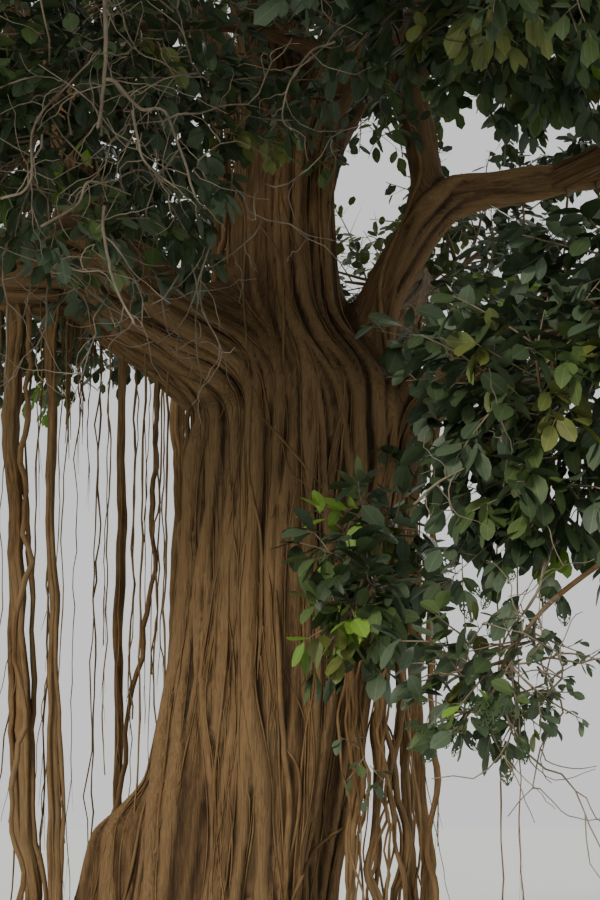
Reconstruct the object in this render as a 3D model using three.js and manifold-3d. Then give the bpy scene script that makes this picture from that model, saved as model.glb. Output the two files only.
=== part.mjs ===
// A banyan tree, whole: a fluted trunk with a flared foot, the boughs that fork from it, the aerial roots
// that hang from them, and a mass of leafy twigs at the end of each bough.
// Millimetres, +Z up. The ground is z = 0, and the origin is on the trunk's flat cut.
// Seen from the front, which is -Y, the heaviest bough leaves the trunk to the left, -X.

import * as THREE from "three";
import { mergeVertices } from "three/addons/utils/BufferGeometryUtils.js";
import Module from "manifold-3d";

const wasm = await Module();
wasm.setup();

const GAP = 0.3; // clearance between solids that touch
const GOLDEN_ANGLE = Math.PI * (3 - Math.sqrt(5));
const UP = new THREE.Vector3(0, 0, 1);

// Trunk

const TRUNK_TOP = 6700;
const TRUNK_SIDES = 32;
const RING_STEP = 320;
// Height, middle in x, middle in y, half width, half depth
const TRUNK_STATIONS = [
  [0, 70, 0, 650, 600],
  [850, 120, 0, 620, 580],
  [1600, 260, 0, 640, 570],
  [2200, 370, 0, 645, 570],
  [2800, 500, 10, 635, 560],
  [3400, 585, 20, 685, 570],
  [3900, 690, 30, 765, 590],
  [4280, 750, 40, 710, 570],
  [4650, 590, 40, 460, 460],
  [5100, 525, 40, 385, 390],
  [5800, 515, 40, 345, 350],
  [TRUNK_TOP, 570, 50, 320, 330],
];
// Ridges that stand out of the trunk all the way up: how many, how proud, and how they turn with each metre
const FLUTES = [
  { count: 5, depth: 0.05, turn: 0.35, phase: 0.6 },
  { count: 9, depth: 0.035, turn: -0.25, phase: 2.1 },
];
// Roots that spread the foot: direction, reach at the ground, the height over which it dies away, and width
const FOOT_ROOTS = [
  { heading: 178, spread: 330, fade: 420, width: 24 },
  { heading: 228, spread: 300, fade: 500, width: 17 },
  { heading: 268, spread: 220, fade: 420, width: 15 },
  { heading: 312, spread: 340, fade: 520, width: 18 },
  { heading: 2, spread: 300, fade: 380, width: 16 },
  { heading: 48, spread: 360, fade: 560, width: 19 },
  { heading: 95, spread: 260, fade: 460, width: 16 },
  { heading: 140, spread: 350, fade: 540, width: 18 },
];
// The old stem fused into the left side, which ends in a shoulder between two heights
const STUMP = { heading: 180, spread: 320, level: 1250, top: 1680, width: 26 };

// Crown: two rings of foliage masses, one at the top, and a few low ones

const CROWN_X = 400;
const OUTER_RING = { radius: 5150, height: 6800, reach: [2550, 2550, 1750] };
const UPPER_RING = { radius: 2750, height: 8550, reach: [2300, 2300, 1650] };
const RING_WAVE = { height: 250, count: 3, phase: 0.7 }; // the rings rise and fall on the way round
const TOP_MASS = { middle: [500, 0, 9800], reach: [2350, 2350, 1600], branches: 6 };
const RIGHT_LOW_MASS = { middle: [2280, -3150, 3700], reach: [1280, 1000, 1200] };
const RIGHT_HANGING_MASS = { middle: [1600, -3480, 2080], reach: [640, 520, 400] };
const FRONT_CROSS_MASS = { middle: [-700, -2350, 5600], reach: [1350, 1000, 1150] };
const OVERHEAD_MASS = { middle: [2100, -2450, 6450], reach: [1900, 1200, 1000] };

function onRing(ring, heading) {
  const angle = THREE.MathUtils.degToRad(heading);
  const x = CROWN_X + ring.radius * Math.cos(angle);
  const height = ring.height + RING_WAVE.height * Math.sin(RING_WAVE.count * angle + RING_WAVE.phase);
  return { middle: [x, ring.radius * Math.sin(angle), height], reach: ring.reach };
}

// Boughs. Each leaves the trunk at a height, or another bough at a share of its length, passes the points in
// via, and tapers between its two radii. Without a tip of its own, it ends short of its mass's middle.
const BOUGH_STEP = 480;
const STOUT = { over: 150, sides: 7 };
const SLENDER = { under: 100, sides: 5 };
const MIDDLING_SIDES = 6;
const TIP_SHARE = 0.5; // of its mass's reach, how far short of the middle a bough ends
const BOUGHS = [
  {
    name: "left_bough",
    on: "trunk",
    at: 4330,
    via: [[-260, 0, 4850], [-860, -60, 5240], [-1560, -100, 5250], [-2800, -120, 5600]],
    thick: [450, 130],
    mass: onRing(OUTER_RING, 180),
  },
  {
    name: "left_front_bough",
    on: "left_bough",
    at: 0.66,
    via: [[-2500, -1200, 5900]],
    thick: [140, 80],
    mass: onRing(OUTER_RING, 216),
  },
  {
    name: "left_back_bough",
    on: "left_bough",
    at: 0.72,
    via: [[-2800, 1200, 6000]],
    thick: [140, 80],
    mass: onRing(OUTER_RING, 144),
  },
  {
    name: "left_upper_bough",
    on: "left_bough",
    at: 0.42,
    via: [[-1150, 150, 6500]],
    thick: [180, 85],
    mass: onRing(UPPER_RING, 180),
  },
  {
    name: "leader_top_bough",
    on: "trunk",
    at: 6400,
    via: [[500, 80, 7500]],
    thick: [210, 90],
    mass: TOP_MASS,
  },
  {
    name: "leader_back_left_bough",
    on: "trunk",
    at: 5950,
    via: [[180, 850, 7150]],
    thick: [170, 85],
    mass: onRing(UPPER_RING, 120),
  },
  {
    name: "leader_back_right_bough",
    on: "trunk",
    at: 5750,
    via: [[1080, 850, 7000]],
    thick: [170, 85],
    mass: onRing(UPPER_RING, 60),
  },
  {
    name: "leader_front_left_bough",
    on: "trunk",
    at: 6100,
    via: [[180, -800, 7250]],
    thick: [170, 85],
    mass: onRing(UPPER_RING, 240),
  },
  {
    name: "leader_front_right_bough",
    on: "trunk",
    at: 5850,
    via: [[1050, -750, 7150]],
    thick: [170, 85],
    mass: onRing(UPPER_RING, 300),
  },
  {
    name: "front_left_bough",
    on: "leader_front_left_bough",
    at: 0.62,
    via: [[-500, -2700, 7400]],
    thick: [95, 65],
    mass: onRing(OUTER_RING, 252),
  },
  {
    name: "front_right_bough",
    on: "leader_front_right_bough",
    at: 0.62,
    via: [[1650, -2700, 7500]],
    thick: [95, 65],
    mass: onRing(OUTER_RING, 288),
  },
  {
    name: "right_bough",
    on: "trunk",
    at: 4150,
    via: [
      [1110, -40, 4480],
      [1180, -40, 5000],
      [1370, -30, 5410],
      [1545, 0, 5760],
      [1500, 0, 6300],
      [1390, 50, 6950],
      [1750, 60, 7550],
    ],
    thick: [165, 80],
    mass: onRing(UPPER_RING, 0),
  },
  {
    name: "right_outer_bough",
    on: "right_bough",
    at: 0.5,
    via: [[1900, 0, 5880], [3000, 60, 6080]],
    thick: [112, 75],
    mass: onRing(OUTER_RING, 0),
  },
  {
    name: "right_front_bough",
    on: "right_outer_bough",
    at: 0.52,
    via: [[3500, -900, 6250]],
    thick: [80, 60],
    mass: onRing(OUTER_RING, 324),
  },
  {
    name: "right_back_bough",
    on: "right_outer_bough",
    at: 0.62,
    via: [[3700, 900, 6300]],
    thick: [80, 60],
    mass: onRing(OUTER_RING, 36),
  },
  {
    name: "back_left_bough",
    on: "trunk",
    at: 4200,
    via: [[200, 950, 4900], [-500, 2400, 5750]],
    thick: [240, 95],
    mass: onRing(OUTER_RING, 108),
  },
  {
    name: "back_right_bough",
    on: "trunk",
    at: 4350,
    via: [[1200, 950, 5000], [1600, 2400, 5850]],
    thick: [240, 95],
    mass: onRing(OUTER_RING, 72),
  },
  {
    name: "right_low_bough",
    on: "trunk",
    at: 4080,
    via: [[1450, -250, 4270], [2150, -900, 4600], [2680, -1750, 4800]],
    tip: [2720, -2450, 4700],
    thick: [210, 60],
    mass: RIGHT_LOW_MASS,
  },
  {
    name: "right_hanging_bough",
    on: "right_low_bough",
    at: 0.78,
    via: [[3050, -2450, 4350], [2950, -3250, 3350]],
    tip: [1900, -3550, 2500],
    thick: [42, 15],
    mass: RIGHT_HANGING_MASS,
  },
  {
    name: "front_cross_bough",
    on: "trunk",
    at: 6150,
    via: [[1000, -800, 6400], [380, -1400, 6480]],
    tip: [-250, -1750, 6380],
    thick: [62, 36],
    mass: FRONT_CROSS_MASS,
  },
  {
    name: "overhead_right_bough",
    on: "right_bough",
    at: 0.7,
    via: [[1950, -900, 6950]],
    tip: [2350, -1900, 6850],
    thick: [66, 42],
    mass: OVERHEAD_MASS,
  },
];
// The sprig that grows straight from the trunk's front, with its stem from root to tip
const SPRIG = {
  name: "trunk_sprig",
  root: [950, -300, 3650],
  tip: [960, -1000, 3350],
  thick: 22,
  mass: { middle: [1040, -1370, 2860], reach: [600, 450, 760] },
};

// Aerial roots: what each hangs from, its foot, its radius at both ends, and how far it sways on the way

const ROOT_SIDES = 4;
const ROOT_STEPS = 6;
const ROOT_STATIONS = [0, 0.18, 0.4, 0.65, 0.85, 1]; // shares of its length where it changes course
const ROOT_FLARE = { share: 0.6, power: 12 };
const BELOW_GROUND = 100; // how far a root runs on before it is cut off flat
const HANGING_ROOTS = [
  {
    name: "left_prop_root_outer",
    on: "left_bough",
    at: 0.58,
    foot: [-1100, -150, 0],
    thick: [74, 66],
    sway: [-40, 40],
  },
  {
    name: "left_prop_root_inner",
    on: "left_bough",
    at: 0.5,
    foot: [-930, -280, 0],
    thick: [46, 44],
    sway: [-20, -60],
  },
  {
    name: "left_hanging_root",
    on: "left_bough",
    at: 0.54,
    foot: [-1180, -480, 0],
    thick: [22, 18],
    sway: [-30, -80],
  },
  {
    name: "left_back_prop_root",
    on: "left_bough",
    at: 0.33,
    foot: [-700, 780, 0],
    thick: [34, 36],
    sway: [-20, 150],
  },
  {
    name: "left_near_root",
    on: "left_bough",
    at: 0.24,
    foot: [-900, 560, 0],
    thick: [20, 18],
    sway: [120, 60],
  },
  {
    name: "left_joining_root",
    on: "left_bough",
    at: 0.17,
    foot: [-150, -150, 1700],
    thick: [20, 24],
    sway: [-70, -40],
  },
  {
    name: "left_far_prop_root",
    on: "left_bough",
    at: 0.86,
    foot: [-3300, 100, 0],
    thick: [62, 70],
    sway: [80, 70],
  },
  {
    name: "right_hanging_root",
    on: "right_low_bough",
    at: 0.3,
    foot: [1500, -420, 0],
    thick: [24, 20],
    sway: [-50, -40],
  },
  {
    name: "right_far_prop_root",
    on: "right_outer_bough",
    at: 0.8,
    foot: [4050, 250, 0],
    thick: [46, 56],
    sway: [-90, 40],
  },
  {
    name: "back_left_prop_root",
    on: "back_left_bough",
    at: 0.62,
    foot: [-700, 2700, 0],
    thick: [52, 60],
    sway: [90, 80],
  },
  {
    name: "back_right_prop_root",
    on: "back_right_bough",
    at: 0.66,
    foot: [1750, 2950, 0],
    thick: [52, 60],
    sway: [-70, 90],
  },
];
// The curtain under the trunk's right shoulder. Each pair is the first root's value and the last one's.
const CURTAIN = {
  name: "right_curtain_root",
  count: 5,
  top: 4000,
  topHeadings: [-44, 16],
  topReach: 560,
  footHeadings: [-32, 7],
  footReach: [1050, 1360],
  thick: 31,
  thicker: 8,
  sway: 60,
};

// Growth rule of a mass

const BRANCHES = 5; // from each stem, spread evenly over a sphere
const BRANCH_STEPS = 3;
const TARGET_SHARE = 0.5; // of the reach, where a branch ends
const SIDE_BLADES = 3; // on each branch, besides the one at its tip
const BLADE_SHARE = 0.56; // of the reach, the length of the longest blade
const BLADE_WIDTH = 0.64; // of its length
const BLADE_THICK = 0.04; // of its length
const BELLY_SHARE = 0.5; // of its length, where it is widest
const SHORTER = [1, 0.75]; // a blade without room is tried again at these shares of its length
const LIMB_CLEARANCE = 50;
const SPACE_MARGIN = 0.015; // of the reach, kept clear between two masses
const FIRST_SEED = 101;
const SEED_STEP = 37;

const COLOURS = { bark: 0x6b4a2c, root: 0x75532f, leaf: 0x2c4420 };

// Numbers and curves

function seeded(seed) {
  let state = seed;
  return () => {
    state = (state * 16807) % 2147483647;
    return state / 2147483647;
  };
}

const vector = (list) => new THREE.Vector3(...list);

const mix = THREE.MathUtils.lerp;

// A smooth value between the rows of a table whose first column is the place along it
function between(table, place, column) {
  let row = 0;
  while (row < table.length - 2 && table[row + 1][0] < place) {
    row += 1;
  }
  const span = table[row + 1][0] - table[row][0];
  const t = THREE.MathUtils.clamp((place - table[row][0]) / span, 0, 1);
  const slope = (k) => {
    const low = Math.max(k - 1, 0);
    const high = Math.min(k + 1, table.length - 1);
    return (table[high][column] - table[low][column]) / (table[high][0] - table[low][0]);
  };
  return (
    table[row][column] * (1 + 2 * t) * (1 - t) ** 2 +
    table[row + 1][column] * t * t * (3 - 2 * t) +
    span * slope(row) * t * (1 - t) ** 2 +
    span * slope(row + 1) * t * t * (t - 1)
  );
}

const bell = (x) => Math.exp(-x * x);

// The turn from a heading to an angle, in degrees from -180 to 180
function headingGap(angle, heading) {
  const turned = THREE.MathUtils.radToDeg(angle) - heading;
  return ((((turned + 180) % 360) + 360) % 360) - 180;
}

function levelOffset(heading, reach) {
  const angle = THREE.MathUtils.degToRad(heading);
  return new THREE.Vector3(Math.cos(angle), Math.sin(angle), 0).multiplyScalar(reach);
}

// Solids

function geometryOf(points, faces) {
  const flat = new Float32Array(points.flatMap((p) => p.toArray()));
  const positions = new THREE.BufferAttribute(flat, 3);
  return new THREE.BufferGeometry().setAttribute("position", positions).setIndex(faces);
}

function solidFrom(geometry) {
  const merged = mergeVertices(geometry, 1e-3);
  const mesh = new wasm.Mesh({
    numProp: 3,
    vertProperties: merged.attributes.position.array,
    triVerts: new Uint32Array(merged.index.array),
  });
  return new wasm.Manifold(mesh);
}

function geometryFrom(solid) {
  const mesh = solid.getMesh();
  const positions = new THREE.BufferAttribute(mesh.vertProperties, mesh.numProp);
  return new THREE.BufferGeometry().setAttribute("position", positions).setIndex([...mesh.triVerts]);
}

// A closed skin over a stack of rings with the same number of points. It ends flat, or in a tip if given one.
function skin(rings, tip) {
  const count = rings[0].length;
  const last = (rings.length - 1) * count;
  const points = tip ? [...rings.flat(), tip] : rings.flat();
  const faces = [];
  for (let k = 0; k < count; k += 1) {
    const next = (k + 1) % count;
    for (let low = 0; low < last; low += count) {
      const high = low + count;
      faces.push(low + k, low + next, high + next, low + k, high + next, high + k);
    }
    if (tip) {
      faces.push(last + k, last + next, last + count);
    } else if (k > 0 && next > 0) {
      faces.push(last, last + k, last + next);
    }
    if (k > 0 && next > 0) {
      faces.push(0, next, k);
    }
  }
  return geometryOf(points, faces);
}

// Frames along a curve that don't twist: each has a centre, the way along, and two ways across
function framesAlong(curve, steps) {
  let side = Math.abs(curve.getTangent(0).x) > 0.9 ? new THREE.Vector3(0, 1, 0) : new THREE.Vector3(1, 0, 0);
  return Array.from({ length: steps + 1 }, (_, s) => {
    const along = curve.getTangent(s / steps);
    side = side.clone().addScaledVector(along, -side.dot(along)).normalize();
    return { centre: curve.getPoint(s / steps), along, side, across: along.clone().cross(side) };
  });
}

// The rings of a tube along a curve, whose radius follows radiusAt(share of its length)
function tubeRings(curve, radiusAt, sides, steps) {
  return framesAlong(curve, steps).map(({ centre, side, across }, s) =>
    Array.from({ length: sides }, (_, k) => {
      const angle = (2 * Math.PI * k) / sides;
      const out = side.clone().multiplyScalar(Math.cos(angle)).addScaledVector(across, Math.sin(angle));
      return centre.clone().addScaledVector(out, radiusAt(s / steps));
    }),
  );
}

function tube(curve, radiusAt, sides, steps) {
  return solidFrom(skin(tubeRings(curve, radiusAt, sides, steps)));
}

// What is left of a solid once others are cut from it, without the loose scraps
function cutBy(solid, cutters) {
  const rest = cutters.reduce((whole, cutter) => whole.subtract(cutter), solid);
  return rest.decompose().sort((a, b) => b.volume() - a.volume())[0];
}

// The trunk's shape

function trunkMiddle(height) {
  return new THREE.Vector3(between(TRUNK_STATIONS, height, 1), between(TRUNK_STATIONS, height, 2), height);
}

function trunkRadius(angle, height) {
  const halfWidth = between(TRUNK_STATIONS, height, 3);
  const halfDepth = between(TRUNK_STATIONS, height, 4);
  const oval = (halfWidth * halfDepth) / Math.hypot(halfDepth * Math.cos(angle), halfWidth * Math.sin(angle));
  const flutes = FLUTES.reduce(
    (sum, f) => sum + f.depth * Math.cos(f.count * angle + (f.turn * height) / 1000 + f.phase),
    0,
  );
  const roots = FOOT_ROOTS.reduce(
    (sum, r) => sum + r.spread * Math.exp(-height / r.fade) * bell(headingGap(angle, r.heading) / r.width),
    0,
  );
  const shoulder = 1 - THREE.MathUtils.smoothstep(height, STUMP.level, STUMP.top);
  const stump = STUMP.spread * shoulder * bell(headingGap(angle, STUMP.heading) / STUMP.width);
  return oval * (1 + flutes) + roots + stump;
}

function trunkSolid(grown) {
  const steps = Math.round(TRUNK_TOP / RING_STEP);
  const rings = Array.from({ length: steps + 1 }, (_, s) => {
    const height = (TRUNK_TOP * s) / steps;
    const middle = trunkMiddle(height).addScaledVector(UP, s === steps ? grown : 0);
    return Array.from({ length: TRUNK_SIDES }, (_, k) => {
      const heading = (360 * (k + 0.5)) / TRUNK_SIDES;
      const radius = trunkRadius(THREE.MathUtils.degToRad(heading), height) + grown;
      return middle.clone().add(levelOffset(heading, radius));
    });
  });
  return solidFrom(skin(rings));
}

// The boughs' shapes

function boughCurve(bough, limbs) {
  const start = bough.on === "trunk" ? trunkMiddle(bough.at) : limbs.get(bough.on).curve.getPoint(bough.at);
  const passed = bough.via.map(vector);
  const middle = vector(bough.mass.middle);
  const short = middle.clone().sub(passed.at(-1)).normalize();
  short.multiply(vector(bough.mass.reach)).multiplyScalar(TIP_SHARE);
  const tip = bough.tip ? vector(bough.tip) : middle.sub(short);
  return new THREE.CatmullRomCurve3([start, ...passed, tip], false, "catmullrom");
}

function boughRadius(bough) {
  return (share) => mix(bough.thick[0], bough.thick[1], share ** 0.8);
}

function boughSides(bough) {
  if (bough.thick[0] > STOUT.over) {
    return STOUT.sides;
  }
  return bough.thick[0] < SLENDER.under ? SLENDER.sides : MIDDLING_SIDES;
}

function boughSolid(bough, curve, grown) {
  const radius = boughRadius(bough);
  const steps = Math.max(4, Math.round(curve.getLength() / BOUGH_STEP));
  return tube(curve, (share) => radius(share) + grown, boughSides(bough), steps);
}

function growBough(bough, limbs, trunkGrown) {
  const curve = boughCurve(bough, limbs);
  const near = [...limbs.values()].filter((limb) => limb.on === bough.on || limb.name === bough.on);
  const solid = cutBy(boughSolid(bough, curve, 0), [trunkGrown, ...near.map((limb) => limb.grown)]);
  return {
    name: bough.name,
    on: bough.on,
    curve,
    solid,
    grown: boughSolid(bough, curve, GAP),
    line: curve.getPoints(24),
    radius: boughRadius(bough),
  };
}

// The aerial roots' shapes

function curtainRoots() {
  const random = seeded(FIRST_SEED);
  return Array.from({ length: CURTAIN.count }, (_, k) => {
    const share = k / (CURTAIN.count - 1);
    const topHeading = mix(...CURTAIN.topHeadings, share);
    const top = trunkMiddle(CURTAIN.top).add(levelOffset(topHeading, CURTAIN.topReach));
    const footReach = mix(...CURTAIN.footReach, share);
    const foot = trunkMiddle(0).add(levelOffset(mix(...CURTAIN.footHeadings, share), footReach));
    const thick = CURTAIN.thick + CURTAIN.thicker * (k % 2);
    return {
      name: `${CURTAIN.name}_${k + 1}`,
      top,
      foot: foot.toArray(),
      thick: [thick, thick],
      sway: [mix(-CURTAIN.sway, CURTAIN.sway, random()), -CURTAIN.sway * random()],
    };
  });
}

function rootCurve(root, limbs) {
  const top = root.top ?? limbs.get(root.on).curve.getPoint(root.at);
  const foot = vector(root.foot);
  const points = ROOT_STATIONS.map((share) => {
    const bow = Math.sin(Math.PI * share) * (1 + 0.35 * Math.sin(9 * share + root.foot[0]));
    return top.clone().lerp(foot, share).add(new THREE.Vector3(root.sway[0] * bow, root.sway[1] * bow, 0));
  });
  return new THREE.CatmullRomCurve3(points, false, "catmullrom");
}

// The tube runs on below the ground, where its flared foot is cut off flat
function rootSolid(root, curve) {
  const flare = (share) => 1 + ROOT_FLARE.share * share ** ROOT_FLARE.power;
  const radius = (share) => mix(...root.thick, share) * flare(share);
  const points = curve.getPoints(9);
  points.push(points.at(-1).clone().addScaledVector(UP, -BELOW_GROUND));
  const longer = new THREE.CatmullRomCurve3(points, false, "catmullrom");
  return tube(longer, radius, ROOT_SIDES, ROOT_STEPS).trimByPlane([0, 0, 1], 0);
}

function growRoot(root, limbs, trunkGrown) {
  const curve = rootCurve(root, limbs);
  const cutters = root.on ? [trunkGrown, limbs.get(root.on).grown] : [trunkGrown];
  const widest = (1 + ROOT_FLARE.share) * Math.max(...root.thick);
  return { solid: cutBy(rootSolid(root, curve), cutters), line: curve.getPoints(16), radius: () => widest };
}

// Blades: at the scale of the whole tree a spray of leaves is one blade, with a keel and two edges

function bladeOf(root, along, keelWay, length) {
  const belly = root.clone().addScaledVector(along, BELLY_SHARE * length);
  const edgeWay = along.clone().cross(keelWay);
  const ring = [
    belly.clone().addScaledVector(keelWay, BLADE_THICK * length),
    belly.clone().addScaledVector(edgeWay, (BLADE_WIDTH / 2) * length),
    belly.clone().addScaledVector(edgeWay, (-BLADE_WIDTH / 2) * length),
  ];
  return { root, along, keelWay, edgeWay, length, ring, tip: root.clone().addScaledVector(along, length) };
}

// Points all over a blade but its root
function bladePoints({ root, along, edgeWay, length }) {
  return [0.25, 0.4, 0.5, 0.6, 0.8, 1].flatMap((share) => {
    const taper = share < BELLY_SHARE ? share / BELLY_SHARE : (1 - share) / (1 - BELLY_SHARE);
    const middle = root.clone().addScaledVector(along, share * length);
    return [-1, -0.33, 0.33, 1].map((side) =>
      middle.clone().addScaledVector(edgeWay, side * taper * (BLADE_WIDTH / 2) * length),
    );
  });
}

// A blade off the side of a branch starts in a point inside it
function bladeSolid({ root, ring, tip }) {
  const faces = [0, 1, 3, 1, 2, 3, 2, 0, 3, 1, 0, 4, 2, 1, 4, 0, 2, 4];
  return solidFrom(geometryOf([...ring, tip, root], faces));
}

// Room for a mass

// How far out of a mass a point lies: 1 is on its outline
function depthIn(mass, point) {
  return point.clone().sub(vector(mass.middle)).divide(vector(mass.reach)).length();
}

function inOwnSpace(mass, masses, point) {
  const own = depthIn(mass, point);
  return own <= 1 && masses.every((other) => other === mass || own + SPACE_MARGIN < depthIn(other, point));
}

// The nearest place on a line of points, as its distance and its share of the line
function nearestOn(line, point) {
  let nearest = { gap: Infinity, share: 0 };
  for (let k = 0; k < line.length - 1; k += 1) {
    const span = line[k + 1].clone().sub(line[k]);
    const t = THREE.MathUtils.clamp(point.clone().sub(line[k]).dot(span) / span.lengthSq(), 0, 1);
    const gap = point.distanceTo(line[k].clone().addScaledVector(span, t));
    if (gap < nearest.gap) {
      nearest = { gap, share: (k + t) / (line.length - 1) };
    }
  }
  return nearest;
}

function clearOf(limbs, point, girth) {
  return limbs.every((limb) => {
    const { gap, share } = nearestOn(limb.line, point);
    return gap > limb.radius(share) + girth + LIMB_CLEARANCE;
  });
}

// Masses of twigs and blades

// An even spread of directions over a sphere
function spiralDirection(k, count, turn) {
  const z = 1 - (2 * (k + 0.5)) / count;
  const angle = k * GOLDEN_ANGLE + turn;
  const flat = Math.sqrt(1 - z * z);
  return new THREE.Vector3(flat * Math.cos(angle), flat * Math.sin(angle), z);
}

// The stem starts where the bough ends and runs on past the middle of the mass
function stemOf(mass) {
  const middle = vector(mass.middle);
  const start = mass.tip.clone().addScaledVector(mass.heading, mass.rooted ? 0 : GAP);
  const control = start.clone().addScaledVector(mass.heading, 0.5 * start.distanceTo(middle));
  const end = middle.clone().addScaledVector(middle.clone().sub(start), 0.35);
  return new THREE.QuadraticBezierCurve3(start, control, end);
}

// Branches leave the stem where they have the least way to go, and bend outwards from it
function branchesOf(mass, stem, random) {
  const stemWay = stem.getPoint(1).sub(stem.getPoint(0)).normalize();
  const turn = random() * 2 * Math.PI;
  const count = mass.branches ?? BRANCHES;
  return Array.from({ length: count }, (_, k) => {
    const outward = spiralDirection(k, count, turn);
    const leaves = THREE.MathUtils.clamp(0.6 + 0.37 * outward.dot(stemWay), 0.3, 0.97);
    const start = stem.getPoint(leaves);
    const target = outward.clone().multiply(vector(mass.reach)).multiplyScalar(TARGET_SHARE);
    const end = vector(mass.middle).add(target);
    const bend = 0.15 * start.distanceTo(end);
    const control = start.clone().lerp(end, 0.5).addScaledVector(stem.getTangent(leaves), bend);
    return { curve: new THREE.QuadraticBezierCurve3(start, control, end), outward };
  });
}

// A blade carries on from the branch's tip, and others stand off its sides, turned by the golden angle
function bladesOf(mass, branch, random) {
  const longest = BLADE_SHARE * Math.cbrt(mass.reach[0] * mass.reach[1] * mass.reach[2]);
  const end = framesAlong(branch.curve, BRANCH_STEPS).at(-1);
  const tip = bladeOf(end.centre, end.along, end.side, longest * mix(0.8, 1, random()));
  const sides = Array.from({ length: SIDE_BLADES }, (_, k) => {
    const share = mix(0.4, 0.92, k / (SIDE_BLADES - 1));
    const along = branch.curve.getTangent(share);
    const across = along.clone().cross(UP).normalize().applyAxisAngle(along, k * GOLDEN_ANGLE + random());
    const way = across.clone().multiplyScalar(0.8).addScaledVector(along, 0.45);
    way.addScaledVector(branch.outward, 0.35).normalize();
    const level = way.clone().cross(across).cross(way).normalize();
    const keelWay = level.applyAxisAngle(way, mix(0.6, 2.4, random()));
    return bladeOf(branch.curve.getPoint(share), way, keelWay, longest * mix(0.75, 1, random()));
  });
  return [tip, ...sides];
}

function massSolid(mass, masses, limbs) {
  const random = seeded(mass.seed);
  const stem = stemOf(mass);
  const free = (point) => inOwnSpace(mass, masses, point) && clearOf(limbs, point, 0);
  const fitted = ({ root, along, keelWay, length }) =>
    SHORTER.map((share) => bladeOf(root, along, keelWay, share * length)).find((blade) =>
      bladePoints(blade).every(free),
    );
  const pieces = [tube(stem, (share) => mass.thick * mix(0.96, 0.35, share), 5, 3)];
  for (const branch of branchesOf(mass, stem, random)) {
    const [tip, ...sides] = bladesOf(mass, branch, random).map(fitted);
    const onTheWay = branch.curve.getPoints(12).slice(1);
    if (!onTheWay.every((point) => clearOf(limbs, point, 0.4 * mass.thick))) {
      continue;
    }
    const radius = (share) => mass.thick * mix(0.4, 0.16, share) + 4;
    const rings = tubeRings(branch.curve, radius, 3, BRANCH_STEPS);
    pieces.push(solidFrom(tip ? skin([...rings, tip.ring], tip.tip) : skin(rings)));
    pieces.push(...sides.filter(Boolean).map(bladeSolid));
  }
  return wasm.Manifold.union(pieces);
}

// The tree

const tree = new THREE.Group();

function add(name, solid, colour, roughness) {
  const material = new THREE.MeshStandardMaterial({ color: colour, roughness, metalness: 0 });
  const mesh = new THREE.Mesh(geometryFrom(solid), material);
  mesh.name = name;
  tree.add(mesh);
}

function massesOf(limbs) {
  const masses = BOUGHS.map((bough, k) => {
    const { curve } = limbs.get(bough.name);
    return {
      ...bough.mass,
      name: bough.name.replace("bough", "foliage"),
      tip: curve.getPoint(1),
      heading: curve.getTangent(1),
      thick: bough.thick[1],
      seed: FIRST_SEED + SEED_STEP * k,
    };
  });
  const root = vector(SPRIG.root);
  masses.push({
    ...SPRIG.mass,
    name: SPRIG.name,
    tip: root,
    heading: vector(SPRIG.tip).sub(root).normalize(),
    thick: SPRIG.thick,
    rooted: true,
    seed: FIRST_SEED + SEED_STEP * BOUGHS.length,
  });
  return masses;
}

function growTree() {
  const trunkGrown = trunkSolid(GAP);
  add("trunk", trunkSolid(0), COLOURS.bark, 0.9);

  const limbs = new Map();
  for (const bough of BOUGHS) {
    limbs.set(bough.name, growBough(bough, limbs, trunkGrown));
    add(bough.name, limbs.get(bough.name).solid, COLOURS.bark, 0.9);
  }

  const obstacles = [...limbs.values()];
  const trunkLine = Array.from({ length: 24 }, (_, k) => trunkMiddle((TRUNK_TOP * k) / 23));
  const trunkGirth = (share) => 1.1 * between(TRUNK_STATIONS, share * TRUNK_TOP, 3);
  obstacles.push({ line: trunkLine, radius: trunkGirth });

  for (const root of [...HANGING_ROOTS, ...curtainRoots()]) {
    const grown = growRoot(root, limbs, trunkGrown);
    obstacles.push(grown);
    add(root.name, grown.solid, COLOURS.root, 0.95);
  }

  const masses = massesOf(limbs);
  for (const mass of masses) {
    const solid = massSolid(mass, masses, obstacles);
    add(mass.name, cutBy(solid, mass.rooted ? [trunkGrown] : []), COLOURS.leaf, 0.5);
  }
}

growTree();

export default tree;
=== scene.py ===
"""The looks of a banyan tree: a trunk and boughs of fused strands, bundles of aerial roots, and a crown of
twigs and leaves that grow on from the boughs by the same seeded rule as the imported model.

Metres, +Z up, with the ground at z = 0. The camera looks along +Y.
"""

import math

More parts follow.
